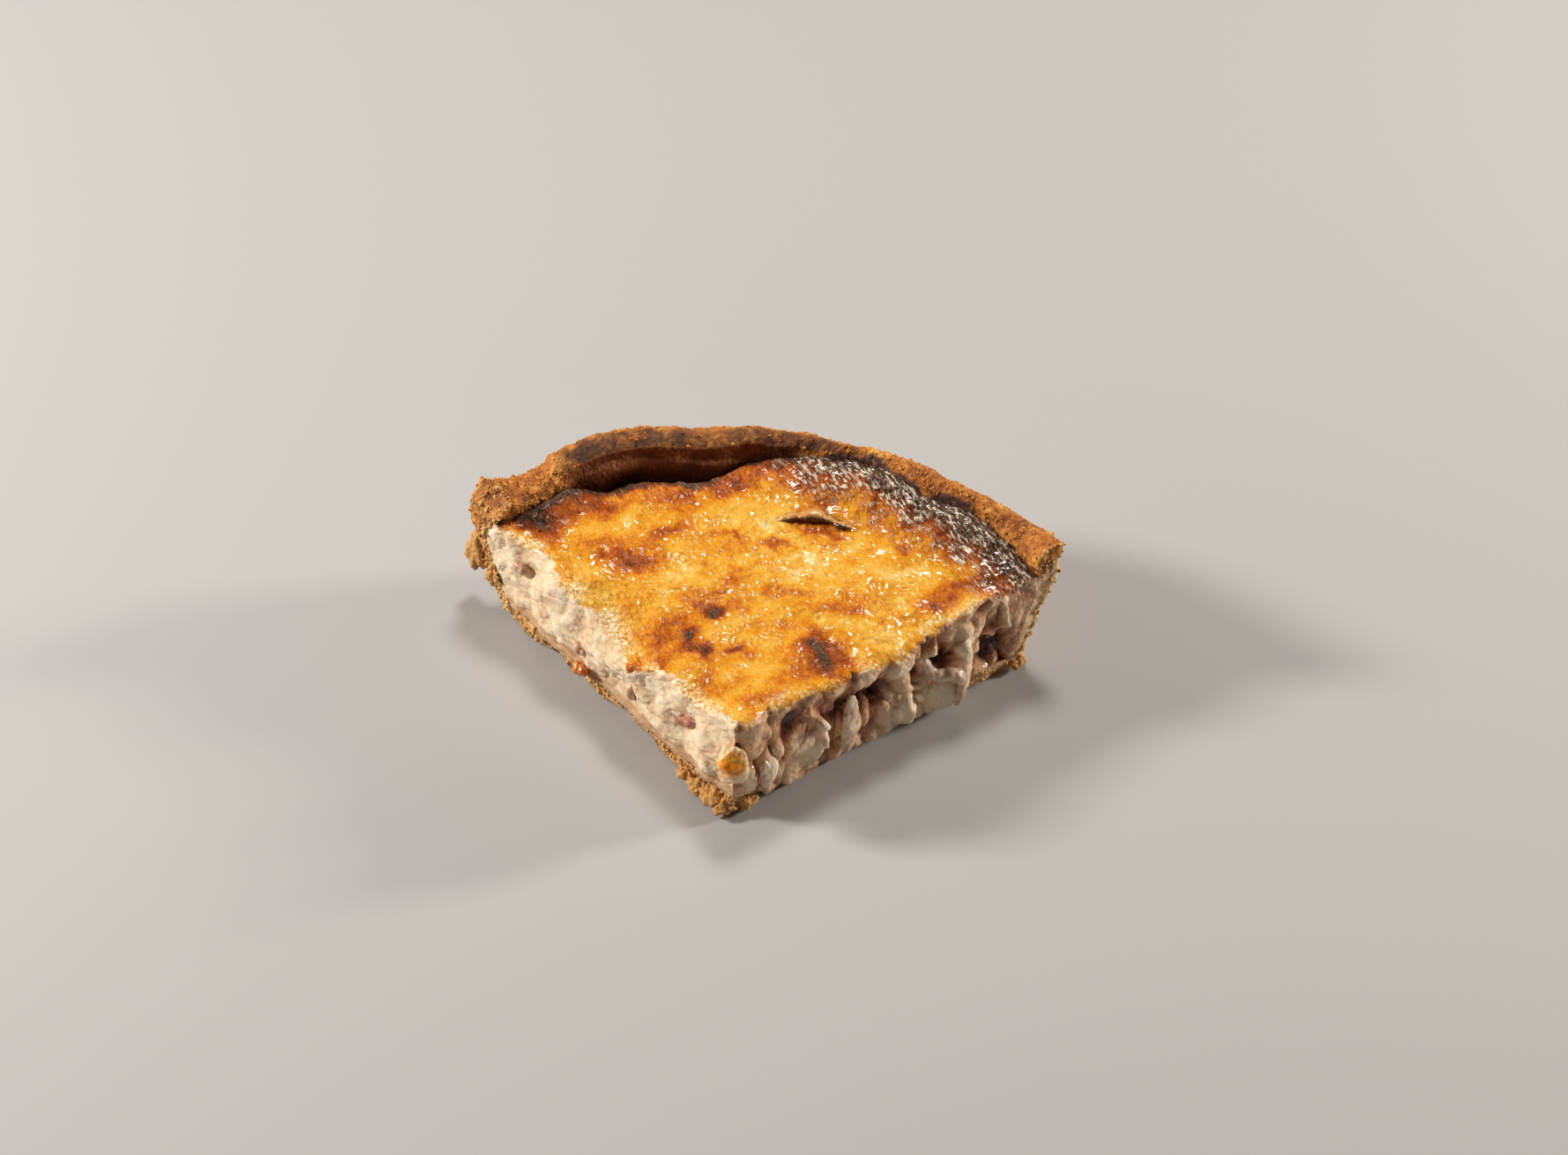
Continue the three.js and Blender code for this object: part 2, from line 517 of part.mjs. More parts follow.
const MORSELS = {
  browned_nugget: {
    path: [[-0.4, -0.4, 21], [0, -1.6, 16.5], [0.8, -1.4, 11.6]],
    wide: 7,
    thick: 4.6,
    flat: FACING_TIP,
    ...BROWNED,
  },
  lardon_left_high: {
    path: [onLeft(72.4, 18.6, -0.2), onLeft(70, 19.4, 0.6), onLeft(67.4, 19.2, -0.2)],
    wide: 2.6,
    thick: 2.6,
    flat: FACING_LEFT,
    ...LARDON,
  },
  lardon_left_middle: {
    path: [onLeft(51, 11.4, 0.2), onLeft(48.9, 11, 1.1), onLeft(46.6, 10.4, 0.2)],
    wide: 3,
    thick: 2.8,
    flat: FACING_LEFT,
    ...LARDON,
  },
  lardon_left_low: {
    path: [onLeft(33.8, 13, -0.6), onLeft(32.9, 10.6, 0.4), onLeft(32.4, 8, -0.6)],
    wide: 2.6,
    thick: 2.8,
    flat: FACING_LEFT,
    ...LARDON,
  },
  lardon_left_tip: {
    path: [onLeft(21.5, 11.4, -0.8), onLeft(15.6, 14.6, -0.8), onLeft(10.4, 18, -0.6)],
    wide: 2.8,
    thick: 3,
    flat: FACING_LEFT,
    ...LARDON,
  },
  crust_flake_left: {
    path: [onLeft(49.8, 6.4, 0.7), onLeft(47.8, 6, 1.7), onLeft(45.6, 6.4, 0.8)],
    wide: 2.8,
    thick: 2.6,
    flat: FACING_LEFT,
    ...BROWNED,
  },
  lardon_right: {
    path: [onRight(22.4, 20.6, -2), onRight(24.4, 17.8, -2.1), onRight(26, 14, -1.7)],
    wide: 4.6,
    thick: 3.4,
    flat: FACING_RIGHT,
    ...LARDON,
  },
  onion_hanging: {
    path: [onRight(30.4, 17.8, 0.2), onRight(29.4, 10.4, 1.4), onRight(28.8, 2.8, 1.8)],
    wide: 4.4,
    thick: 1.8,
    flat: FACING_RIGHT,
    ...ONION,
  },
  onion_curl: {
    path: [
      onRight(49.4, 18.6, -0.4),
      onRight(51.6, 13.2, 1.6),
      onRight(55.4, 12.2, 3.6),
      onRight(57.6, 9.4, 4.2),
      onRight(56.2, 2.8, 4.4),
    ],
    wide: 3.4,
    thick: 3,
    flat: FACING_RIGHT,
    ...ONION,
  },
  onion_drip: {
    path: [onRight(7, 13.4, 1.4), onRight(6.7, 9.8, 2.6), onRight(7.2, 6, 2.8)],
    wide: 3.2,
    thick: 2,
    flat: FACING_RIGHT,
    ...ONION,
  },
  onion_top: {
    path: [[1.9, 62.4, 25.5], [10, 64.2, 26.3], [18.3, 62.4, 25.7]],
    wide: 2.8,
    thick: 2,
    flat: FACING_UP,
    ...BROWNED,
  },
};

function makeFilling() {
  const rows = BOTTOM_ROWS + HEM_ROWS + SIDE_ROWS + TOP_ROWS;
  const block = toSolid(ringSkin(ALL_COLUMNS, rows, fillingSkin));
  return Object.values(MORSELS).reduce((solid, spec) => solid.subtract(toSolid(morsel(spec, GAP))), block);
}

function mesh(name, geometry, color, roughness) {
  const made = new THREE.Mesh(geometry, new THREE.MeshStandardMaterial({ color, roughness, metalness: 0 }));
  made.name = name;
  return made;
}

const quiche = new THREE.Group();
quiche.add(mesh("crust", toGeometry(makeCrust()), 0xb9793f, 0.8));
quiche.add(mesh("filling", toGeometry(makeFilling()), 0xe9b55c, 0.45));
for (const [name, spec] of Object.entries(MORSELS))
  quiche.add(mesh(name, morsel(spec, 0), spec.color, spec.roughness));
for (const piece of quiche.children) piece.position.set(-MIDDLE_ACROSS, -MIDDLE_ALONG, 0);

export default quiche;
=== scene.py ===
# %% [markdown]
# # A slice of quiche lorraine
#
# A quiche is two things baked together: a crumbly shortcrust shell, pressed into a tin by hand, and a
# custard of eggs and cream that sets around bacon and onion. Cut, it shows a third thing: the torn, curdled
# inside. Each of these wants its own way of being modelled, and this notebook takes them in turn.
#
# The solids of the part are loaded first. They give the size, and each piece made here but the crumbs stands
# in for one of them. All lengths below are in millimetres, measured from the tip of the slice, with +Y
# running along its middle to the rim; only the last step, when a mesh is made, turns them into metres in the
# part's own frame.

# %% Load the part
import itertools
import math

import bpy
import numpy as np
from mathutils import Matrix


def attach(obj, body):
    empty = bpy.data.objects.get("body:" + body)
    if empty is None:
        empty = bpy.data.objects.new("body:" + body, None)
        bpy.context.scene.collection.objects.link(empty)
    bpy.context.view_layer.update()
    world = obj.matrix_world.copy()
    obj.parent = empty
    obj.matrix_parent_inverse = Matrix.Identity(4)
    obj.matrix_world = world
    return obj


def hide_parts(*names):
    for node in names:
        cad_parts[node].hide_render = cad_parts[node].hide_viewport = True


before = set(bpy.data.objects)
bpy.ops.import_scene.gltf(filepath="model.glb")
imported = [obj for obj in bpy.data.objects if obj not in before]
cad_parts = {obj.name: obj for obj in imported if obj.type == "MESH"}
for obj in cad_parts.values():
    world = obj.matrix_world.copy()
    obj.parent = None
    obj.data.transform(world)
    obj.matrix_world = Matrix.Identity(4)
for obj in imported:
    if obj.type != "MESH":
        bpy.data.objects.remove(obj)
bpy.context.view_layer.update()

# %% [markdown]
# ## Named sizes
#
# The quiche was about 18 cm across. The knife met 2.7 mm short of its middle, so directions are measured
# from the slice's tip but circles are drawn about the quiche's middle. The lists hold heights at even steps
# from one cut to the other, or from the tip to the rim, because a hand-pressed rim has no rule of its own.
# Angles are in radians, below zero to the left.

# %% Sizes of the shell and the custard
HALF_ANGLE = math.radians(48)
TIP_SHORT = 2.7
TIP_TO_MIDDLE = np.array([-0.7, 40.9, 0.0])
BASE_RADIUS = 77
RIM_RADIUS = 88
RIM_HEIGHT = 32
WALL_CURVE = 0.6
BASE_THICKNESS = 4
WALL_THICKNESS = 4
LIP_DOME = 1.3
LEFT_END_BULGE = 2.4
BULGE_ANGLES = (-0.84, -0.66)
BULGE_HEIGHTS = (16, 24)
BULGE_FADE = 8
CORNER_ROUNDING = 3.2
CORNER_HEIGHT = 5
SUNK_ANGLES = (-0.46, 0.04)
SUNK_FADE = 0.16
FILM_LEDGE = 0.7
FILM_DROP = 4.2
END_ROUNDING = 3.2
ROUNDED_DEPTH = 5
PRESSED_WAVES = [(0.7, 9, 0.6), (0.4, 17, 2)]
RIM_HEIGHTS = [32.2, 28.2, 31.4, 32.8, 32.2, 31.6, 30.9, 30.5, 30.2, 30.7, 30.8, 30, 31.4]
LIP_THICKNESSES = [9.4, 8.4, 6.4, 6.2, 6, 5.6, 4.4, 3.2, 3.4, 5, 4.2, 5.6, 6]
RIM_CRACK = {"at": -0.637, "half_width": 0.024, "depth": 1.4}

FILLING_TOP = 25.4
RISE_AT_RIGHT_RIM = 4
RISE_AT_LEFT_END = 2.4
CLIMB_ANGLES = (-0.3, 0.3)
LEFT_CLIMB_ANGLES = (-0.64, -0.48)
CLIMB_RADII = (69, 81)
SHRINK_AT_LEFT_RIM = 2.4
SHRINK_ANGLES = (-0.46, -0.22)
SHRINK_HEIGHTS = (15, 24)
CUSTARD_CLEARANCE = 0.1
STUCK_AT_CUTS = 0.5
LEFT_EDGE_HEIGHTS = [26.4, 23.2, 24.6, 21.4, 21.2, 23.6, 24.6, 26.2, 27]
RIGHT_EDGE_HEIGHTS = [26.4, 27.4, 25.2, 24.2, 23.8, 24.8, 27, 26.4, 26]
EDGE_REACH = 84
EDGE_FADE = 8
PASTRY_SETBACK = 2.2
PASTRY_INSET_LEFT = 1.1
INSET_REACH = (28, 56)
INSET_FADE = 10
HEM_REACH = (10, 58)
HEM_FADE = 5
HEM_HEIGHT = 1.5
RAGGED_CUT = 0.7
RAGGED_FADE = 3
OVER_CUT = 0.4
print("listed rim heights from", min(RIM_HEIGHTS), "to", max(RIM_HEIGHTS), "mm")

# %% [markdown]
# Lumps and hollows of the two cut faces: distance from the tip, height, radius, and how far they stand out
# of the knife's stroke. A wet custard tears rather than cuts, and leaves lobes that hang over the pastry.

# %% Lumps and hollows of the cuts
RIGHT_RELIEF = [
    (7.2, 9, 3.6, 1.7), (13.6, 19.6, 2.8, -2), (16.6, 11.5, 4.6, 2), (13, 3, 4, 1.2), (25.4, 16.5, 3.2, -3.2),
    (24.6, 8, 2.6, -1.8), (29.2, 8, 3.4, 1.4), (35.6, 15, 3.8, -2.8), (41.4, 19.6, 2.8, 1.4),
    (42.4, 6.5, 4.2, 2), (36, 6, 3, -1.6), (46.4, 17, 2, -1.6), (49, 8.5, 3.8, 1.8), (54.6, 16, 3.8, -4.2),
    (57.5, 5, 4.6, 3.2), (60.4, 18, 2.8, 1), (66.6, 9.5, 4.6, -2.8), (72.4, 17, 4.4, 0.9),
]
LEFT_RELIEF = [
    (8, 12, 6, 1.2), (16, 13, 4, -1.5), (24, 9, 5.5, 0.9), (34, 19, 6, 1.9), (35, 10, 4, -1.2),
    (44, 12, 6, 1), (50, 22, 5, -1.4), (58, 14, 7, 0.9), (66, 24, 5, -2.2), (71, 11, 6, -0.7),
]
print(len(RIGHT_RELIEF), "lumps and hollows on the right,", len(LEFT_RELIEF), "on the left")

# %% [markdown]
# On the right the custard was wettest, and the stroke pulled it into folds. Each is a short line on the cut,
# from one place to another, with a width and a height: ridges stand out, creases go in between two lobes.

# %% Folds of the right cut
RIGHT_FOLDS = [
    (3.9, 13, 3.6, 6, 1, 1.1), (5.4, 14, 5.3, 5, 0.7, -1.2), (9.5, 15, 9.7, 4, 0.8, -1.3),
    (12.3, 16.4, 11.4, 9, 0.9, -1.1), (18.4, 20.4, 21.9, 15.2, 0.9, 1.2), (21.9, 15.2, 21.5, 10.9, 0.9, 1.4),
    (21.5, 10.9, 19.3, 3.6, 1, 1.2), (23.9, 16, 23.5, 6, 0.8, -1.3), (26.9, 19, 26.6, 5, 0.7, -1.1),
    (33, 18, 32.4, 5, 0.8, -1.3), (37.4, 13.4, 41, 9.4, 0.7, -1), (44.3, 10, 45.2, 3.4, 0.9, 1),
    (46.7, 10, 47.2, 3, 0.7, -1.2), (46.4, 21, 46.6, 12.5, 0.7, -1.4), (55.8, 20.3, 58.7, 17, 1.1, 1),
    (58.7, 17, 61.2, 11.8, 1.1, 1), (70.4, 24, 70.9, 18.2, 0.9, 1), (70.9, 18.2, 66.7, 16.9, 0.8, 0.9),
    (66.7, 16.9, 63.1, 12.9, 0.9, 1), (69.2, 23, 69.4, 19.4, 0.8, -1), (66, 14.8, 63.6, 10.6, 0.8, -1),
    (69.6, 12, 72.2, 4.6, 0.8, -0.9), (51.6, 19, 56.4, 17, 1.5, 2.2), (64.4, 12.4, 68.4, 13.6, 1.3, 1.2),
]
print(len(RIGHT_FOLDS), "folds")

# %% [markdown]
# ## Noise
#
# Nothing baked is smooth, so most shapes here get noise. It is made on a lattice of whole numbers: each
# lattice place has a fixed random value, and between places the values are blended with a smooth step. The
# same call always gives the same number, so the model never changes from one run to the next. The last number
# of a call is a seed: it only picks another pattern of the same kind.

# %% Steps and bells
def lerp(a, b, t):
    """Straight blend: a at t = 0, b at t = 1."""
    return a + (b - a) * t


def smooth(low, high, x):
    """Smooth step: 0 below low, 1 above high, and the cubic 3t^2 - 2t^3 between them."""
    t = np.clip((np.asarray(x, float) - low) / (high - low), 0, 1)
    return t * t * (3 - 2 * t)


def fall(low, high, x):
    """The smooth step turned over: 1 below low, 0 above high."""
    return 1 - smooth(low, high, x)


def bell(x):
    """exp(-x^2): 1 at 0, and next to nothing past 2."""
    return np.exp(-x ** 2)


def plateau(low, high, fade, x):
    """1 between low and high, and a smooth step down to 0 over the fade outside them."""
    return smooth(low - fade, low, x) * fall(high, high + fade, x)


print("a smooth step at its quarters:", smooth(0, 1, [0, 0.25, 0.5, 0.75, 1]).round(2).tolist())

# %% Noise on a lattice
def lattice(i, j, k):
    """The fraction of a large multiple of a sine, from -1 to 1: a fixed random value at each place."""
    s = np.sin(i * 127.1 + j * 311.7 + k * 74.7) * 43758.5453
    return 2 * (s - np.floor(s)) - 1


def noise(x, y, z):
    """The eight lattice values around a point, blended by the smooth steps of its fractions."""
    x, y, z = np.broadcast_arrays(*(np.asarray(t, float) for t in (x, y, z)))
    i, j, k = np.floor(x), np.floor(y), np.floor(z)
    a, b, c = ((t - f) ** 2 * (3 - 2 * (t - f)) for t, f in ((x, i), (y, j), (z, k)))

    def edge(dj, dk):
        return lerp(lattice(i, j + dj, k + dk), lattice(i + 1, j + dj, k + dk), a)

    return lerp(lerp(edge(0, 0), edge(1, 0), b), lerp(edge(0, 1), edge(1, 1), b), c)


def grain(points, size, seed=0.0):
    """Noise with lumps about the given size across."""
    return noise(points[:, 0] / size + seed, points[:, 1] / size, points[:, 2] / size)


print("noise along a line:", noise([0, 0.3, 0.6, 0.9], 0.5, 0.5).round(2).tolist())

# %% [markdown]
# Curd and crumb are lumps with creases between them, which plain noise does not give. So each cube of a
# lattice also gets one seed at a random place in it: near a seed is the middle of a lump, and half way
# between two seeds is a crease.

# %% Lumps and creases
def cells(points, size, seed=0.0):
    """Distance to the nearest of one jittered seed per cube, and how much further the next is, in cubes."""
    places = points / size
    corner = np.floor(places)
    nearest = np.full(len(points), 9.0)
    second = nearest
    for step in itertools.product((-1, 0, 1), repeat=3):
        i, j, k = (corner + step).T
        jitter = [0.5 + 0.42 * lattice(i + seed + turn * 17, j + turn * 5, k + turn) for turn in (1, 2, 3)]
        away = np.linalg.norm(np.stack([i, j, k], axis=1) + np.stack(jitter, axis=1) - places, axis=1)
        second = np.minimum(second, np.maximum(nearest, away))
        nearest = np.minimum(nearest, away)
    return nearest, second - nearest


def lumps(points, size, seed=0.0):
    """Rounded lumps: half a cube in the middle of a cell, and less towards its borders."""
    return 0.5 - cells(points, size, seed)[0]


def creases(points, size, width, seed):
    """1 on the borders between cells, falling to 0 within a width given as a share of the cube."""
    return fall(0, width, cells(points, size, seed)[1])


def bent(points, size, amount, seed=0.0):
    """The points moved about by three noises, so that what is drawn on them loses its straight edges."""
    return points + amount * np.stack([grain(points, size, seed + turn) for turn in (0.3, 3.7, 8.1)], 1)


print("nearest seed and the next:", [float(v[0].round(2)) for v in cells(np.zeros((1, 3)), 1)])

# %% [markdown]
# ## From grids to meshes
#
# Every surface is worked out as a grid of points. Where a grid closes up, as at the tip of the slice, its
# corners fall together; they are welded, and the faces that have closed up are dropped. Relief finer than
# the form is added afterwards, by moving each point along the mean normal of its faces.

# %% Weld, normals, and making the object
WELD = 1e-3


def weld(points, quads):
    """Corners that round to the same place become one; each cell is cut in two and closed ones go."""
    _, kept, same = np.unique(np.round(points / WELD).astype(np.int64), axis=0, return_index=True,
                              return_inverse=True)
    corners = same.reshape(-1)[quads]
    triangles = np.concatenate([corners[:, [0, 1, 2]], corners[:, [0, 2, 3]]])
    a, b, c = triangles.T
    return kept, triangles[(a != b) & (b != c) & (c != a)]


def normals_of(points, triangles):
    """Each point's normal: the sum of its faces' cross products, brought to length 1."""
    a, b, c = (points[triangles[:, n]] for n in range(3))
    across = np.cross(b - a, c - a)
    corners = triangles.ravel()
    total = np.stack([np.bincount(corners, np.repeat(along, 3), len(points)) for along in across.T], 1)
    return total / np.maximum(np.linalg.norm(total, axis=1, keepdims=True), 1e-12)


def make_piece(name, points, triangles, **masks):
    """A mesh object in the part's frame: metres, with the tip moved to its place and one value per mask."""
    mesh = bpy.data.meshes.new(name)
    mesh.from_pydata(((points - TIP_TO_MIDDLE) / 1000).tolist(), [], triangles.tolist())
    for mask, values in masks.items():
        mesh.attributes.new(mask, "FLOAT", "POINT").data.foreach_set("value", np.asarray(values, np.float32))
    mesh.shade_smooth()
    piece = bpy.data.objects.new(name, mesh)
    bpy.context.collection.objects.link(piece)
    print(name, len(points), "points", len(triangles), "triangles")
    return piece

# %% [markdown]
# ## The pastry shell
#
# Shortcrust is one sheet, about 4 mm thick, that covers the bottom of the tin and climbs its wall. So it is
# one warped box: the first parameter follows the sheet from the tip to the rim, the second crosses the slice,
# and the third goes through the thickness. Its rim waves, dips and cracks where the list of heights says so.

# %% Circles and curves
def reach(angle, radius):
    """From the tip, at an angle, to a circle about the quiche's middle: sqrt(R^2 - (a sin)^2) - a cos."""
    return np.sqrt(radius ** 2 - (TIP_SHORT * np.sin(angle)) ** 2) - TIP_SHORT * np.cos(angle)


def even_steps(values, share):
    """A Catmull-Rom curve through values at even steps, for a share of the way from 0 to 1."""
    values = np.asarray(values, float)
    place = np.clip(share, 0, 1) * (len(values) - 1)
    i = np.minimum(np.floor(place), len(values) - 2).astype(int)
    p0, p1, p2, p3 = (values[np.clip(i + d, 0, len(values) - 1)] for d in (-1, 0, 1, 2))
    t = place - i
    return p1 + 0.5 * t * (p2 - p0 + t * (2 * p0 - 5 * p1 + 4 * p2 - p3 + t * (3 * (p1 - p2) + p3 - p0)))


def cross_share(angle):
    """0 at the left cut, 1 at the right cut."""
    return (angle / HALF_ANGLE + 1) / 2


print("from the tip to the middle of the rim:", round(float(reach(0, RIM_RADIUS)), 1), "mm")

# %% The rim and the wall
def rim_height(angle):
    """The listed heights, less a crack, plus crumbly noise."""
    crack = np.maximum(0, 1 - np.abs(angle - RIM_CRACK["at"]) / RIM_CRACK["half_width"])
    crumbly = 0.45 * noise(angle * 15, 0.5, 5)
    return even_steps(RIM_HEIGHTS, cross_share(angle)) - RIM_CRACK["depth"] * crack + crumbly


def outer_radius(angle, z):
    """A power curve from the base radius to the rim radius, with shallow waves and a drawn-in foot."""
    up = np.clip(z / RIM_HEIGHT, 0, 1.1)
    pressed = sum(size * np.sin(count * angle + start) for size, count, start in PRESSED_WAVES)
    waves = pressed + 0.5 * noise(angle * 12, z / 7, 11)
    bulge = LEFT_END_BULGE * fall(*BULGE_ANGLES, angle) * plateau(*BULGE_HEIGHTS, BULGE_FADE, z)
    foot = CORNER_ROUNDING * fall(0, CORNER_HEIGHT, z)
    return lerp(BASE_RADIUS, RIM_RADIUS, up ** WALL_CURVE) + waves * smooth(0.2, 0.9, up) + bulge - foot


def sunk_share(angle):
    """1 at the back left, where the custard sank and left its film, and 0 elsewhere."""
    return plateau(*SUNK_ANGLES, SUNK_FADE, angle)


def film_drop(angle):
    """How far below the rim the film of custard begins: it wavers as the level of the custard did."""
    return FILM_DROP + 1.1 * noise(angle * 7, 0.5, 88)


def inner_radius(angle, z):
    """The outer radius, less the wall, its thicker lip, and at the back left a film with a ledge."""
    share = (z - BASE_THICKNESS) / (rim_height(angle) - BASE_THICKNESS)
    lip = even_steps(LIP_THICKNESSES, cross_share(angle))
    thickness = lerp(WALL_THICKNESS, lip, smooth(0.55, 0.85, share))
    film = FILM_LEDGE * sunk_share(angle) * fall(0, 0.9, z - rim_height(angle) + film_drop(angle))
    return outer_radius(angle, z) - thickness - film


print("rim at its middle:", round(float(rim_height(0.0)), 1), "mm high")

# %% [markdown]
# A knife does not leave a plane in pastry: the cut is ragged, and along the foot of the right cut the crust
# is set back behind a hem of custard. A place on a cut is told by how far it is from the tip and how high.

# %% The cuts
def hem_share(along):
    """How far along the right cut the custard hangs over the pastry, from 0 to 1."""
    return plateau(*HEM_REACH, HEM_FADE, along)


def pastry_out(right, along, z):
    """How far the pastry's cut stands out of the stroke: crumbly noise, set back in the middle of a side."""
    seed = np.where(right, 40, 3)
    crumbly = RAGGED_CUT * (noise(along / 4.5, z / 3.5, seed) + 0.5 * noise(along / 11, z / 9, seed + 7))
    low = fall(BASE_THICKNESS, BASE_THICKNESS + 3, z)
    hem = hem_share(along) * low
    inset = PASTRY_INSET_LEFT * plateau(*INSET_REACH, INSET_FADE, along) * low
    out = np.where(right, crumbly * fall(0, 0.4, hem) - PASTRY_SETBACK * hem, crumbly - inset)
    return out * smooth(0.5, 7, along)


def cut_normal(right):
    """Outward normal of a cut: the right one where right is true, the left one elsewhere."""
    side = np.where(right, 1.0, -1.0)
    return np.stack([side * math.cos(HALF_ANGLE), -np.full_like(side, math.sin(HALF_ANGLE)), 0 * side], -1)


print("the cuts face:", cut_normal(np.array([False, True]))[:, :2].round(2).tolist())

# %% The sheet
def shell_sheet(station, v, w):
    """The sheet's point: station 0 to 1 is the base, 1 to 2 the wall; v crosses it; w is 0 outside, 1 in."""
    station, v, w = np.broadcast_arrays(station, v, w)
    angle = lerp(HALF_ANGLE, -HALF_ANGLE, v)
    height = rim_height(angle)
    share = np.clip(station - 1, 0, 1)
    outer_z = height * share ** 1.5
    inner_z = lerp(BASE_THICKNESS, height - 0.8, share)
    under = reach(angle, outer_radius(angle, 0 * angle))
    floor = reach(angle, inner_radius(angle, BASE_THICKNESS + 0 * angle))
    wall = lerp(reach(angle, outer_radius(angle, outer_z)), reach(angle, inner_radius(angle, inner_z)), w)
    on_base = station <= 1
    distance = np.where(on_base, np.clip(station, 0, 1) * lerp(under, floor, w), wall)
    dome = LIP_DOME * np.sin(np.pi * w) * smooth(0.97, 1, share)
    z = np.where(on_base, BASE_THICKNESS * w, lerp(outer_z, inner_z, w) + dome)
    right = angle > 0
    rounding = END_ROUNDING * fall(0, ROUNDED_DEPTH, height - z) * ~right
    inward = distance * np.sin(HALF_ANGLE - np.abs(angle))
    ragged = (pastry_out(right, distance, z) - rounding) * np.exp(-inward / RAGGED_FADE)
    place = np.stack([np.sin(angle) * distance, np.cos(angle) * distance, z], -1)
    return place + cut_normal(right) * ragged[..., None]


print("top of the rim at its middle:", shell_sheet(2.0, 0.5, 0.5).round(1).tolist())

# %% The grid of the shell
BASE_STATIONS = 72
WALL_STATIONS = 56
CROSS_STATIONS = 300
THROUGH_STATIONS = 14


def cells_of(grid):
    """The four corner numbers of each cell of a grid of corner numbers."""
    return np.stack([grid[:-1, :-1], grid[:-1, 1:], grid[1:, 1:], grid[1:, :-1]], -1).reshape(-1, 4)


def warped_box(u, v, w, shape):
    """The six faces of a box of cells, carried by the shape: each face is a grid of corner numbers."""
    number = -np.ones((len(u), len(v), len(w)), int)
    skin = np.zeros(number.shape, bool)
    skin[[0, -1]] = skin[:, [0, -1]] = skin[:, :, [0, -1]] = True
    number[skin] = np.arange(skin.sum())
    at = np.argwhere(skin)
    points = shape(u[at[:, 0]], v[at[:, 1]], w[at[:, 2]])
    grids = [number[:, :, 0], number[:, :, -1].T, number[0], number[-1].T, number[:, 0].T, number[:, -1]]
    return points, np.concatenate([cells_of(grid) for grid in grids]), at


stations = np.concatenate([np.linspace(0, 1, BASE_STATIONS + 1), np.linspace(1, 2, WALL_STATIONS + 1)[1:]])
across = np.linspace(0, 1, CROSS_STATIONS + 1)
through = np.linspace(0, 1, THROUGH_STATIONS + 1)
shell_points, shell_quads, shell_at = warped_box(stations, across, through, shell_sheet)
kept, shell_triangles = weld(shell_points, shell_quads)
shell_points, shell_at = shell_points[kept], shell_at[kept]
print("shell grid", len(shell_points), "points")

# %% [markdown]
# Shortcrust breaks into crumbs where it is cut and blisters a little where it baked against the tin. Its
# relief is three sizes of noise, strongest on the rim and the cuts, and none at all underneath, where the
# pastry took the flatness of the tin. Masks are kept with it: where custard baked onto the wall as a dark
# film, where the inner half of the lip toasted brown or charred at the right, and where the knife smeared
# custard over the right cut. Others paint light: the outer edge of the right cut's wall is painted pale and a
# thin line along the film's ledge is painted light, both painted highlights, and how far each point is raised
# paints the peaks of crumb golden as painted highlight and the pits between them dark as painted shade.

# %% Where each point of the shell is
RIM_BAND = (4.5, 0.5)
station_of = stations[shell_at[:, 0]]
through_of = shell_at[:, 2] / THROUGH_STATIONS
is_wall = station_of > 1
is_inside = shell_at[:, 2] == THROUGH_STATIONS
is_outside = shell_at[:, 2] == 0
is_cut = (shell_at[:, 1] == 0) | (shell_at[:, 1] == CROSS_STATIONS)
shell_angle = np.arctan2(shell_points[:, 0], np.maximum(shell_points[:, 1], 1e-6))
shell_height = rim_height(np.clip(shell_angle, -HALF_ANGLE, HALF_ANGLE))
below_rim = shell_height - shell_points[:, 2]
on_rim = smooth(*RIM_BAND, below_rim) * is_wall
print(int(is_wall.sum()), "points on the wall,", int(is_cut.sum()), "on the cuts")

# %% Film and toast
SHADED_FROM = -0.54
MASK_FADE = 0.1
TOAST_BANDS = [(1, SHADED_FROM, -0.28, 0.14, 0.36), (0.8, SHADED_FROM, 0.16, 0.55, 0.85),
               (0.8, -0.3, 0.14, 0.15, 0.5)]
wander = below_rim + 0.9 * grain(shell_points, 2.6) + 0.4 * grain(shell_points, 1.1)
drop = film_drop(shell_angle)
film = is_inside * smooth(-0.5, 0.4, wander - drop) * is_wall
ragged_angle = shell_angle + 0.03 * grain(shell_points, 3)
slope = plateau(SHADED_FROM, 0, MASK_FADE, ragged_angle) * is_inside * is_wall
through_band = through_of + 0.2 * grain(shell_points, 2.0, 8)
toast = 0
for strength, first, last, outer, inner in TOAST_BANDS:
    band = plateau(first, last, MASK_FADE, ragged_angle) * smooth(outer, inner, through_band)
    toast = np.maximum(toast, strength * band)
toast = toast * on_rim * ~is_inside * (1 - 0.5 * smooth(0.2, 0.6, grain(shell_points, 2.4, 15)))
print("filmed", int((film > 0.5).sum()), "points, toasted", int((toast > 0.5).sum()))

# %% Char, ledge and edges, with painted highlights on the ledge and one edge
CHAR_ANGLES = (0.04, 0.84)
PALE_PATCH_ANGLE = -0.42
PALE_PATCH_DEPTH = 4
DROOP_DEPTHS = (3, 5.4)
SMEAR_OF_BASE = 0.7
char_edge = 0.89 + 0.25 * smooth(0.56, 0.66, shell_angle) + 0.28 * grain(shell_points, 5.5, 33)
char_edge = char_edge + 0.2 * grain(shell_points, 1.5, 34)
char = plateau(*CHAR_ANGLES, MASK_FADE, shell_angle) * smooth(-0.08, 0.08, through_of - char_edge)
char = char * is_wall * ~is_cut
# A thin light line just under the film's edge is painted along the ledge: a painted highlight.
ledge_highlight = slope * bell((below_rim + 0.4 * grain(shell_points, 1.2) - drop + 0.5) / 0.25)
ledge_highlight = ledge_highlight * smooth(-0.2, 0.3, grain(shell_points, 6, 20))
pale_patch = slope * bell((shell_angle - PALE_PATCH_ANGLE) / 0.07) * bell(below_rim - PALE_PATCH_DEPTH)
is_right_cut = shell_at[:, 1] == 0
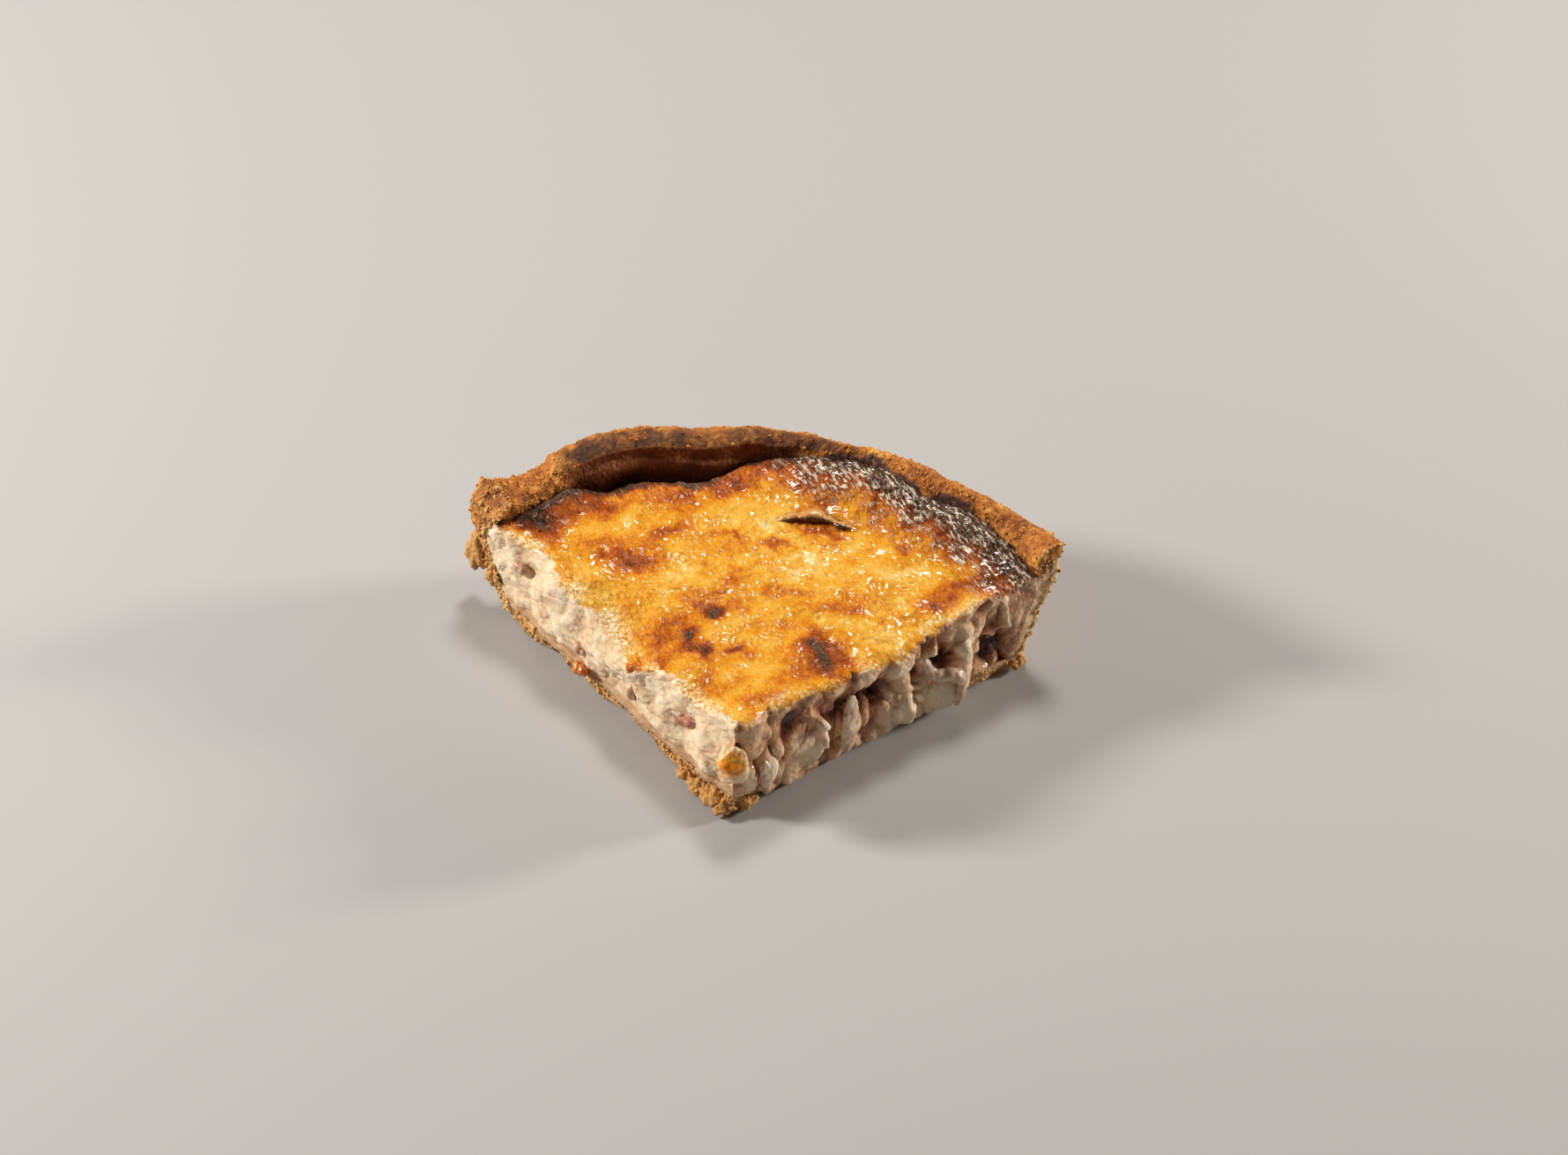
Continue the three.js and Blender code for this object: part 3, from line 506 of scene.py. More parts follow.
# The outer edge of the right cut's wall is painted pale: a painted highlight where light catches it.
painted_lit_edge = fall(0.1, 0.24, through_of + 0.12 * grain(shell_points, 1.3, 61))
painted_lit_edge = painted_lit_edge * 0.7 * is_wall * is_right_cut * smooth(4, 6, below_rim)
oven_side = is_outside * is_wall * ~is_cut * smooth(0.6, 3, below_rim)
smear = smooth(0.2, 0.4, through_of + 0.16 * grain(shell_points, 1.3))
end_depth = below_rim + 0.7 * grain(shell_points, 2.2, 51)
smear = is_right_cut * np.where(is_wall, smear * smooth(5, 6.4, end_depth), SMEAR_OF_BASE)
droop = is_right_cut * is_wall * plateau(*DROOP_DEPTHS, 0.7, end_depth) * smooth(0.1, 0.35, through_of)
film = np.maximum(film, 0.75 * droop)
under = is_outside & ~is_wall
print("charred", int((char > 0.5).sum()), "points, smeared", int((smear > 0.5).sum()))

# %% Crumbly relief of the shell
LEFT_END_AT = -0.56
crumbly = (0.26 * grain(shell_points, 3.4) + 0.3 * lumps(bent(shell_points, 1.6, 0.4), 1.5, 3)
           + 0.18 * grain(shell_points, 0.9, 30))
# How far each point is raised: in the pastry's colour it paints the peaks golden as painted highlight and the
# pits dark as painted shade.
peak_highlight_pit_shade = np.clip(0.5 + 1.3 * crumbly, 0, 1)
amount = 0.6 + 0.6 * on_rim * (1 - 0.3 * toast) + 0.8 * is_cut * (1 - 0.7 * smear)
amount = np.where(is_inside & is_wall, 0.4 + 0.6 * on_rim * (1 - 0.5 * slope), amount)
amount = amount * (1 + 0.6 * on_rim * smooth(LEFT_END_AT, LEFT_END_AT - 0.1, shell_angle))
amount = np.where(under, 0, amount)
shell_points = shell_points + normals_of(shell_points, shell_triangles) * (crumbly * amount)[:, None]
shell_points[:, 2] = np.maximum(shell_points[:, 2], 0)
print("relief up to", round(float(np.abs(crumbly * amount).max()), 2), "mm")

# %% [markdown]
# Larger broken bits hang on the shell: crumbs pushed out at the tip, and a flake that peeled off the left
# end. A broken bit is a ball whose radius is shaken by noise, so that it gets corners and hollows. Each is
# given by its place, its three half sizes and its turn. Their undersides are cut off level, each a little
# higher than the last, because two faces in one plane shade each other black.

# %% Rings and balls
def ring_grid(columns, rows):
    """Corner numbers of the cells of a closed skin of rings, one row of columns above another."""
    grid = np.arange(columns * rows).reshape(rows, columns)
    return cells_of(np.concatenate([grid, grid[:, :1]], axis=1))


def unit_ball(columns, rows):
    """Rings of sin(down) round the vertical, from the lowest point to the highest, at heights -cos(down)."""
    around = np.linspace(0, 2 * np.pi, columns, endpoint=False)[None, :]
    down = np.linspace(0, np.pi, rows)[:, None]
    return np.stack(np.broadcast_arrays(np.sin(down) * np.cos(around), np.sin(down) * np.sin(around),
                                        -np.cos(down)), -1).reshape(-1, 3)


def turned(points, angle):
    """The points turned about the vertical."""
    x, y, z = np.moveaxis(points, -1, 0)
    cos, sin = np.cos(angle), np.sin(angle)
    return np.stack([x * cos - y * sin, x * sin + y * cos, z], -1)


def join(parts):
    """Several (points, triangles) as one, with the corner numbers moved on."""
    starts = np.cumsum([0] + [len(points) for points, _ in parts[:-1]])
    return (np.concatenate([points for points, _ in parts]),
            np.concatenate([faces + start for (_, faces), start in zip(parts, starts)]))


print("the waist of a ball of 4 columns:", (unit_ball(4, 3)[4:8].round(1) + 0).tolist())

# %% Broken bits of pastry
BIT_COLUMNS = 36
BIT_ROWS = 25
LOWEST_BIT = 0.04
BIT_STEP = 0.02
BROKEN_BITS = [
    ((-1.4, 0.2, 1.7), (2.6, 2, 1.9), 0.4), ((-4.6, 2.4, 1.9), (3, 2.2, 1.9), 2.1),
    ((3, 2.4, 1.7), (2.2, 1.8, 1.7), 1.2), ((-7.6, 4.6, 1.7), (2.8, 2, 1.7), 2.6),
    ((-11, 8.2, 1.5), (2.2, 1.6, 1.5), 2.4), ((56.8, 50.4, 1.5), (2.4, 1.5, 1.3), 0.7),
    ((-59.2, 54, 8), (2, 1.8, 2.4), 2.4), ((-63, 57.4, 11.5), (2.6, 2.2, 5.4), 2.4),
]


def broken_bit(place, half, turn, seed):
    """A ball of the given half sizes, swollen by cells and noise, turned about the vertical."""
    ball = unit_ball(BIT_COLUMNS, BIT_ROWS)
    swell = 1.02 + 0.32 * grain(ball, 0.8, seed) + 0.5 * lumps(ball, 0.55, seed)
    points = turned(ball * swell[:, None] * half, turn) + place
    kept_corners, faces = weld(points, ring_grid(BIT_COLUMNS, BIT_ROWS))
    points = points[kept_corners]
    crags = 0.6 * lumps(points, 1.25, seed) + 0.25 * grain(points, 0.8, seed)
    return points + normals_of(points, faces) * crags[:, None], faces


bits = [broken_bit(place, half, turn, 5.0 * n) for n, (place, half, turn) in enumerate(BROKEN_BITS)]
for n, (points, _) in enumerate(bits):
    points[:, 2] = np.maximum(points[:, 2], LOWEST_BIT + BIT_STEP * n)
bit_points, bit_triangles = join(bits)
print(len(bits), "broken bits")

# %% The crust's mesh
crust_points, crust_triangles = join([(shell_points, shell_triangles), (bit_points, bit_triangles)])
crumb = is_cut * (1 - 0.85 * ~is_right_cut * smooth(12, 22, shell_points[:, 2]))
crumb = crumb * np.where(is_right_cut & is_wall, smooth(2, 3.4, end_depth), 1)
crust_masks = dict(film=film, toast=toast, slope=slope, ledge_highlight=ledge_highlight, peak_highlight_pit_shade=peak_highlight_pit_shade, crumb=crumb, smear=smear,
                   under=under, pale_patch=pale_patch, char=char, painted_lit_edge=painted_lit_edge, oven_side=oven_side)
ON_BITS = {"peak_highlight_pit_shade": 0.6, "crumb": 0.7}
crust = make_piece("crust_baked", crust_points, crust_triangles,
                   **{name: np.append(on_shell, np.full(len(bit_points), ON_BITS.get(name, 0.0)))
                      for name, on_shell in crust_masks.items()})
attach(crust, "root")
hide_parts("crust")

# %% [markdown]
# ## The custard
#
# The custard is a block with a skin. Its outline runs up the right cut, round the back against the shell, and
# home down the left cut; rings of that outline are stacked from the underside to the brow and then drawn in
# over the top. On the right the outline first goes down behind a hem, the part that the knife smeared over
# the pastry.

# %% Height of the skin
def filling_top(x, y):
    """Height of the skin: a level, drawn to the listed heights near each cut, and climbing at the rim."""
    distance = np.hypot(x, y)
    angle = np.clip(np.arctan2(x, y), -HALF_ANGLE, HALF_ANGLE)
    share = distance / EDGE_REACH
    near_left = bell(distance * np.sin(HALF_ANGLE + angle) / EDGE_FADE)
    near_right = bell(distance * np.sin(HALF_ANGLE - angle) / EDGE_FADE)
    left = near_left * (even_steps(LEFT_EDGE_HEIGHTS, share) - FILLING_TOP)
    right = near_right * (even_steps(RIGHT_EDGE_HEIGHTS, share) - FILLING_TOP)
    near_rim = smooth(*CLIMB_RADII, np.hypot(x, y + TIP_SHORT))
    at_rim = (RISE_AT_RIGHT_RIM * smooth(*CLIMB_ANGLES, angle)
              + RISE_AT_LEFT_END * fall(*LEFT_CLIMB_ANGLES, angle))
    climb = at_rim * near_rim * (1 - near_left) * (1 - near_right)
    swells = 0.55 * noise(x / 13, y / 13, 2) + 0.3 * noise(x / 5, y / 5, 9)
    return FILLING_TOP + (left + right) / np.maximum(1, near_left + near_right) + climb + swells


print("skin at its middle:", round(float(filling_top(0.0, 47.0)), 1), "mm high")

# %% Relief of a cut
def cut_relief(relief, along, up, seed):
    """Flutes that run up and down, smaller lumps, and the named ones, each a bell of its own radius."""
    out = 0.55 * noise(along / 4.2, up / 9, seed) + 0.35 * noise(along / 2.6, up / 3.4, seed + 5)
    for place, height, size, depth in relief:
        out = out + depth * bell(np.hypot(along - place, up - height) / size)
    return out


def fold_relief(along, up):
    """Each fold is its height times a bell of the distance to its line, which noise bends a little."""
    along, up = along + 0.6 * noise(along / 3, up / 3, 55), up + 0.6 * noise(along / 3, up / 3, 56)
    out = 0
    for from_along, from_up, to_along, to_up, wide, depth in RIGHT_FOLDS:
        run, rise = to_along - from_along, to_up - from_up
        share = np.clip(((along - from_along) * run + (up - from_up) * rise) / (run ** 2 + rise ** 2), 0, 1)
        away = np.hypot(along - from_along - share * run, up - from_up - share * rise)
        out = out + depth * bell(away / wide)
    return out


def right_relief(along, up):
    """The right cut's lumps and folds together."""
    return cut_relief(RIGHT_RELIEF, along, up, 21) + 1.2 * fold_relief(along, up)


print("the big hollow of the right cut:", round(float(right_relief(54.6, 16)), 1), "mm")

# %% The outline at a height
def back_radius(angle, z):
    """Just inside the shell: further in where the custard shrank at the left, and stuck to it at the cuts."""
    shrunk = plateau(*SHRINK_ANGLES, SUNK_FADE, angle) * smooth(*SHRINK_HEIGHTS, z)
    stuck = STUCK_AT_CUTS * smooth(HALF_ANGLE - 0.03, HALF_ANGLE, np.abs(angle))
    return inner_radius(angle, z) - CUSTARD_CLEARANCE - SHRINK_AT_LEFT_RIM * shrunk + stuck


RIGHT_COLUMNS = 168
BACK_COLUMNS = 204
LEFT_COLUMNS = 168
ALL_COLUMNS = RIGHT_COLUMNS + BACK_COLUMNS + LEFT_COLUMNS


def filling_outline(column, z, level):
    """The outline's point at a height: along a cut with its relief, or on the back circle."""
    column, z, level = np.broadcast_arrays(column, z, level)
    is_right = column < RIGHT_COLUMNS
    is_back = (column >= RIGHT_COLUMNS) & (column <= RIGHT_COLUMNS + BACK_COLUMNS)
    back_angle = lerp(HALF_ANGLE, -HALF_ANGLE, np.clip((column - RIGHT_COLUMNS) / BACK_COLUMNS, 0, 1))
    side_angle = np.where(is_right, HALF_ANGLE, -HALF_ANGLE)
    share = np.where(is_right, column / RIGHT_COLUMNS, (ALL_COLUMNS - column) / LEFT_COLUMNS)
    length = reach(side_angle, back_radius(side_angle, z))
    along = np.clip(share, 0, 1) * length
    relief = np.where(is_right, right_relief(along, z), cut_relief(LEFT_RELIEF, along, z, 33))
    free = (relief * (1 - 0.4 * smooth(0.93, 1, level)) + OVER_CUT) * smooth(0, 5, along)
    flush = np.where(is_right, pastry_out(True, length, z) + 0.3, 0)
    out = np.where(is_back, 0, lerp(flush, free, smooth(0, 3, length - along)))
    angle = np.where(is_back, back_angle, side_angle)
    distance = np.where(is_back, reach(back_angle, back_radius(back_angle, z)), along)
    flat = np.stack([np.sin(angle) * distance, np.cos(angle) * distance, z], -1)
    return flat + cut_normal(is_right) * out[..., None]


print("outline of", ALL_COLUMNS, "columns")

# %% Foot and hem of the custard
FILLING_HEART = np.array([0.0, 47.0, 0.0])
bottom_z = BASE_THICKNESS + CUSTARD_CLEARANCE

column = np.arange(ALL_COLUMNS)[None, :].astype(float)
hem_length = reach(HALF_ANGLE, back_radius(HALF_ANGLE, BASE_THICKNESS))
hem_along = np.minimum(1, column / RIGHT_COLUMNS) * hem_length
hem = np.where(column <= RIGHT_COLUMNS, hem_share(hem_along), 0)
low_z = lerp(bottom_z, HEM_HEIGHT + 0.9 * noise(hem_along / 4, 0.5, 50), hem)
foot = filling_outline(column, low_z, 0.0)
behind_out = 0.5 + pastry_out(True, hem_along, low_z)
right_way = np.array([math.sin(HALF_ANGLE), math.cos(HALF_ANGLE), 0])
behind = right_way * hem_along[..., None] + cut_normal(np.array(True)) * behind_out[..., None]
inner_foot = np.where(hem[..., None] > 0, behind, foot)
inner_foot[..., 2] = low_z
print("foot and hem from", round(float(low_z.min()), 1), "to", round(float(low_z.max()), 1), "mm high")

# %% The rings of the custard
BOTTOM_ROWS = 3
BEHIND_ROWS = 4
UNDER_ROWS = 5
SIDE_ROWS = 56
TOP_ROWS = 96
EDGE_ROUNDING = 0.8


def row_share(count):
    """Shares of the way from just past 0 up to 1, one per row."""
    return (np.arange(count)[:, None] + 1) / count


lifted = inner_foot.copy()
lifted[..., 2] = bottom_z
heart_low = FILLING_HEART + [0, 0, bottom_z]
t = np.concatenate([[[0.0]], row_share(BOTTOM_ROWS)])[..., None]
bottom = lerp(heart_low, lifted, t)
behind_rows = lerp(lifted, inner_foot, row_share(BEHIND_ROWS)[..., None])
t = row_share(UNDER_ROWS)[..., None]
under_rows = lerp(inner_foot, foot, t) - np.array([0, 0, 0.5]) * np.sin(np.pi * t) * hem[..., None]
level = row_share(SIDE_ROWS)
rough = filling_outline(column, FILLING_TOP, 1.0)
brow = filling_top(rough[..., 0], rough[..., 1]) - EDGE_ROUNDING
side = filling_outline(column, lerp(low_z, brow, level), level)
edge = filling_outline(column, brow + EDGE_ROUNDING, 1.0)
inwards = row_share(TOP_ROWS)
top = lerp(edge, FILLING_HEART, inwards[..., None])
inset = inwards * np.linalg.norm((edge - FILLING_HEART)[..., :2], axis=-1)
top[..., 2] = filling_top(top[..., 0], top[..., 1]) - EDGE_ROUNDING * np.exp(-inset / EDGE_ROUNDING)

rings = np.concatenate([bottom, behind_rows, under_rows, side, top])
rows = len(rings)
top_start = rows - TOP_ROWS
side_start = top_start - SIDE_ROWS
custard_points = rings.reshape(-1, 3)
row_of = np.repeat(np.arange(rows), ALL_COLUMNS)
column_of = np.tile(np.arange(ALL_COLUMNS), rows)
kept, custard_triangles = weld(custard_points, ring_grid(ALL_COLUMNS, rows))
custard_points, row_of, column_of = custard_points[kept], row_of[kept], column_of[kept]
print("custard grid", len(custard_points), "points", rows, "rows")

# %% [markdown]
# ## Where the oven browned it
#
# The skin of a quiche browns in patches: where a bubble or a bit of bacon stood proud it is almost black,
# around that it is amber, and the hollows stay cream. The patches are listed: each is an oval with a
# place, two half sizes, a turn in degrees and a depth of browning. Noise bends them, so that none looks oval.

# %% Browned patches of the skin
PATCHES = [
    (-8.6, 34.2, 3, 1.7, 4, 0.5), (-8.8, 35.2, 7.4, 4.6, 10, 0.26), (-12.4, 26.9, 2, 1.5, -48, 0.44),
    (-8.4, 20.2, 2, 1.5, -60, 0.44), (-10.6, 23.8, 5.4, 1.6, -55, 0.2), (-13.6, 26.6, 6, 4, -45, 0.24),
    (-2.1, 24.6, 2.2, 1.6, 0, 0.42), (-2.6, 24, 4, 3.4, 0, 0.16), (14.5, 26.5, 3, 2.6, -30, 0.34),
    (17.4, 22, 2.4, 2.2, -30, 0.34), (16, 23.8, 6.6, 6, -30, 0.32), (14.3, 30.5, 2, 1.8, 0, 0.2),
    (-25.4, 19, 2.6, 1.8, 40, 0.44), (-17.9, 18, 2.4, 1.8, 30, 0.3), (-8.2, 11.2, 3.6, 3.2, 0, 0.3),
    (4.1, 9.2, 4.2, 2.8, 0, 0.28), (7.8, 14.6, 3, 2.2, 0, 0.14), (-14, 21, 4, 3, 0, 0.1),
    (1, 14, 5, 2.6, 0, 0.08), (8, 33, 5, 2, 0, 0.1), (-20, 26, 4, 3, 0, 0.1), (-26.6, 47.3, 7, 5, 10, 0.3),
    (-28.5, 45.5, 3.4, 2.6, 20, 0.16), (-21.4, 56.1, 5, 1.6, 30, 0.26), (-31, 51, 4, 3, 20, 0.1),
    (-7.8, 56.8, 3.4, 1.4, 0, 0.44), (2.3, 55.2, 4.2, 1.2, 8, 0.52), (14.7, 61, 4.2, 1.8, -14, 0.34),
    (12, 65, 8, 3, 0, 0.15), (-47, 52, 4.6, 4.4, -40, 0.24), (-54, 56.3, 5.2, 3.2, 40, 0.4),
    (41.9, 46.4, 6, 4.4, 20, 0.3), (37.5, 41, 3.6, 2.6, 30, 0.24), (48, 51, 6, 4, 35, 0.34),
    (42.5, 60, 3.4, 3, 0, 0.3), (21.1, 37.4, 6.5, 1.8, 4, 0.22), (9, 42, 3, 2, 0, 0.18),
    (1.9, 40.3, 3, 1.8, 0, 0.16), (-6, 45, 3, 2, 0, 0.16), (31, 37.5, 4, 1.5, 0, 0.14),
    (-28, 33, 2.6, 6, 0, 0.18), (-28, 28.5, 2, 1.5, 0, 0.2), (-40, 60, 9, 4, 45, 0.2),
    (-36, 48, 4, 5, -30, 0.1), (-9, 71.6, 5.5, 4, 0, 0.3), (5, 76, 6, 3, 0, 0.26), (13, 72, 4, 3, 0, 0.12),
    (-22, 66, 5, 3, 0, 0.14), (-35, 60, 5, 3, 40, 0.16), (30.7, 56.9, 5, 3, -35, 0.16),
    (36, 57, 4, 3, -35, 0.12), (8, 49, 14, 4, 5, -0.05), (-14, 42, 4, 8, 30, -0.16),
    (26, 33, 8, 4, 30, -0.14), (22, 50, 12, 6, 0, -0.07), (-34, 37, 5, 4, -45, -0.14),
    (-2, 3, 6, 3, 0, -0.06), (17, 73, 7, 3, -20, -0.12), (-18, 62, 6, 3, 30, -0.1),
]
print(len(PATCHES), "patches")

# %% How brown the skin is
CREAM_LEVEL = 0.27
SCORCHED_ANGLES = (0.02, 0.22)
CORNER_BROWNED = (-0.66, -0.5)


def flat_noise(x, y, size, seed):
    """Noise over the plane, with spots about the given size across."""
    return noise(x / size, y / size, seed)


def browning(x, y):
    """Cream level plus noise, plus each patch as a bell over its oval, plus the scorched band at the rim."""
    bent_x = x + 1.6 * flat_noise(x, y, 4, 70) + 0.7 * flat_noise(x, y, 1.7, 71)
    bent_y = y + 1.6 * flat_noise(x, y, 4, 72) + 0.7 * flat_noise(x, y, 1.7, 73)
    brown = CREAM_LEVEL + 0.08 * flat_noise(x, y, 10, 74) + 0.13 * flat_noise(x, y, 3.8, 75)
    brown = brown + 0.06 * flat_noise(x, y, 1.6, 76)
    for place_x, place_y, half_long, half_wide, turn, depth in PATCHES:
        cos, sin = math.cos(math.radians(turn)), math.sin(math.radians(turn))
        dx, dy = bent_x - place_x, bent_y - place_y
        oval = ((dx * cos + dy * sin) / half_long) ** 2 + ((dy * cos - dx * sin) / half_wide) ** 2
        brown = brown + depth * np.exp(-oval)
    angle = np.arctan2(x, np.maximum(y, 1e-6))
    from_wall = back_radius(angle, FILLING_TOP + 0 * x) - np.hypot(bent_x, bent_y + TIP_SHORT)
    scorched = smooth(*SCORCHED_ANGLES, angle)
    at_right = 0.5 * fall(2, 7.5, from_wall) + 0.32 * fall(5, 17, from_wall)
    at_left = 0.46 * fall(0.2, 2.6, from_wall) + 0.17 * fall(3, 12, from_wall)
    at_left = at_left + 0.3 * fall(*CORNER_BROWNED, angle) * fall(2, 7, from_wall)
    return brown + scorched * at_right + (1 - scorched) * at_left


print("browning at the middle:", round(float(browning(0.0, 47.0)), 2))

# %% [markdown]
# The skin does not reach the cuts everywhere: the knife pulled it off in places, most of all on the left.
# The lists give how far in it starts, at even steps from the tip to the rim; below zero it laps over the
# edge. Along both brows the custard frothed and set as a line of pale bubbles.

# %% Where the skin is
LEFT_SKIN_INSET = [0.6, 0.4, 0.2, -1, 2.6, 1.2, 2.6, 1.2, -1.2]
RIGHT_SKIN_INSET = [0.6, -0.2, -0.8, -0.2, -0.6, 0.6, -0.6, -0.2, -1.2]

x, y, z = custard_points.T
distance = np.hypot(x, y)
angle = np.arctan2(x, np.maximum(y, 1e-6))
from_left = distance * np.sin(HALF_ANGLE + angle)
from_right = distance * np.sin(HALF_ANGLE - angle)
is_top = row_of >= top_start
is_side = (row_of >= side_start) & ~is_top
is_back = (column_of >= RIGHT_COLUMNS) & (column_of <= RIGHT_COLUMNS + BACK_COLUMNS)
is_right = column_of < RIGHT_COLUMNS
fray = 1.3 * flat_noise(x, y, 2.6, 60) + 0.6 * flat_noise(x, y, 1.0, 61)
left_lap = even_steps(LEFT_SKIN_INSET, distance / EDGE_REACH)
right_lap = even_steps(RIGHT_SKIN_INSET, distance / EDGE_REACH)
skin_on_top = 0.5 + np.minimum(0.26 * (from_left - left_lap), 0.5 * (from_right - right_lap)) + 0.3 * fray
below_brow = filling_top(x, y) - z
skin_depth = np.where(is_right, 0.7 - 0.8 * right_lap, 0.4 - 0.7 * left_lap) + 0.9 * fray
skin_on_side = 0.5 + 0.5 * (skin_depth - below_brow)
skin_on_back = fall(5, 8, below_brow + fray)
skin = np.select([is_top, is_side & is_back, is_side], [skin_on_top, skin_on_back, skin_on_side], 0)
skin = np.clip(skin, 0, 1)
torn = np.where(is_back & ~is_top, 0, fall(0.35, 0.65, skin)) * (row_of > BOTTOM_ROWS)
print("skin on", int((skin > 0.5).sum()), "points, torn", int((torn > 0.5).sum()))

# %% Froth and browning
FROTH_REACH = 8
left_froth = np.where(is_top, bell((from_left - left_lap) / 2.4), 0.8 * bell(below_brow / 1.2))
left_froth = left_froth * ~is_right * (is_top | is_side) * (from_left < FROTH_REACH)
right_froth = np.where(is_top, bell((from_right - right_lap) / 2.6), bell(below_brow / 1.6))
right_froth = right_froth * np.where(is_side, is_right, is_top) * (from_right < FROTH_REACH)
right_froth = right_froth * plateau(9, 64, 5, distance)
froth = np.maximum(left_froth, 0.55 * right_froth) * smooth(-0.35, 0.15, flat_noise(x, y, 4, 64))
brown = browning(x, y) - 0.24 * froth
print("browning from", round(float(brown.min()), 2), "to", round(float(brown.max()), 2))

# %% [markdown]
# The torn inside is relief on the two cuts: round lobes of curd with creases between them, calmer at the
# rim on the right, and drawn along the stroke low down on the left. It runs out at the brow, where the skin
# takes over with blisters, which swell where it is charred and bead up where it frothed.

# %% Lobes of the cuts
from_wall = back_radius(np.clip(angle, -HALF_ANGLE, HALF_ANGLE), z) - np.hypot(x, y + TIP_SHORT)
tall = bent(custard_points, 3.4, 1.3) * [1, 1, 0.6]
calm = 1 - 0.7 * plateau(72, 95, 2, distance) - 0.4 * plateau(14, 21, 2, distance)
lobes_right = calm * (1.7 * lumps(tall, 7.6, 7) + 0.4 * lumps(tall, 3.2, 9) - 0.6 * creases(tall, 7.6, 0.1, 7)
                      + 0.34 * grain(bent(custard_points, 3, 0.8) * [1, 1, 0.4], 1.2, 40))
soft = bent(custard_points, 4, 1.4)
strokes = noise(distance / 5, z / 1.5, 47) * fall(12, 18, z)
lobes_left = (0.7 * lumps(soft, 5.2, 17) + 0.4 * grain(custard_points, 2.8, 41) + 0.3 * lumps(soft, 2.4, 19)
              - 0.2 * creases(soft, 5.2, 0.12, 17) + 0.32 * lumps(bent(custard_points, 1.4, 0.4), 1.5, 43)
              + 0.12 * grain(custard_points, 1.0, 44) + 0.3 * strokes)
lobes_left = lobes_left * smooth(4, 8, z) - 0.7 * fall(4.5, 8, z)
folds = 0.7 * (1 - 2 * np.abs(noise(x / 5.2, y / 5.2, z / 14 + 80))) * is_right * calm
lobes = np.where(is_right, lobes_right + folds, lobes_left) * smooth(0.2, 2.2, from_wall)
# The lobes' height also sets the inside colour: lumps are painted lighter and hollows darker, as painted
# shade. On the right it is also darker near the tip, and on the left towards the bottom.
curd = np.where(is_right, 0.46 + 0.2 * (lobes + right_relief(distance, z)), 0.5 + 0.45 * lobes)
curd = curd - np.where(is_right, 0.12 * fall(8, 26, distance), 0.2 * fall(5, 10, z))
print("lobes from", round(float(lobes.min()), 2), "to", round(float(lobes.max()), 2), "mm")

# %% Where the skin shines and creases
by_wall = np.where(angle > 0, fall(9, 17, from_wall), fall(3, 9, from_wall))
matt = 0.75 - 0.6 * smooth(0.42, 0.7, brown)
gloss = np.where(is_top, np.maximum(matt, np.maximum(by_wall * np.where(angle > 0, 1, 0.4), froth)), 1.0)
# Where the creases go; there they are raised by a bump and painted pale as streaks of glint, a painted
# highlight.
streaks = np.maximum(by_wall * (0.1 + 0.9 * smooth(-0.05, 0.2, angle)), 0.06)
print("glossy", int((gloss > 0.5).sum()), "points, creased", int((streaks > 0.5).sum()))

# %% Blisters, and the custard's mesh
charred = smooth(0.6, 0.9, brown)
blisters = (0.3 * grain(custard_points, 3.4, 90) + 0.3 * lumps(bent(custard_points, 2, 0.5), 1.7, 11)
            + 0.16 * grain(custard_points, 0.9, 95))
blisters = blisters * (1 + 0.4 * charred) + 0.7 * charred * lumps(custard_points, 2.7, 13)
blisters = blisters + 0.45 * froth * lumps(bent(custard_points, 1.2, 0.3), 1.3, 15)
height = np.where(is_top, (1 - torn) * blisters + 0.3 * torn * lumps(soft, 2.1, 19), torn * lobes)
height = np.where(is_back & ~is_top, 0, height)
torn_brow = np.zeros(ALL_COLUMNS)
torn_brow[column_of[row_of == top_start - 1]] = torn[row_of == top_start - 1]
near_edge = is_top * np.exp(-np.minimum(from_left, from_right) / 1.6) * smooth(2, 6, distance)
near_edge = near_edge * torn_brow[column_of]
sideways = cut_normal(from_right < from_left) * (near_edge * lobes)[:, None]
custard_points = custard_points + sideways + normals_of(custard_points, custard_triangles) * height[:, None]
custard_points[:, 2] = np.maximum(custard_points[:, 2], 0.1)
# The last mask marks the right cut and the top nearest it: it is wet there, so it shines, and the cut is
# painted a darker taupe, as painted shade.
custard = make_piece("custard_baked", custard_points, custard_triangles, skin=skin, brown=brown, gloss=gloss,
                     froth=froth, streaks=streaks, curd=np.clip(curd, 0, 1),
                     moist=np.where(is_top, from_right < from_left, is_right))
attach(custard, "root")
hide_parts("filling")

# %% [markdown]
# ## Bacon, onion and a caramelised bit
#
# Small things stick out of the cuts: bits of bacon, strips of onion, and a lump of browned custard at the
# tip. Each is a plump strip: rings of a flattened circle carried along a smooth curve through a few places,
# fullest in the middle and closed at both ends. The table gives the way it faces, its places, its width, its
# thickness and its slot. On a cut, a place is how far from the tip, how high, and how far out it lies.

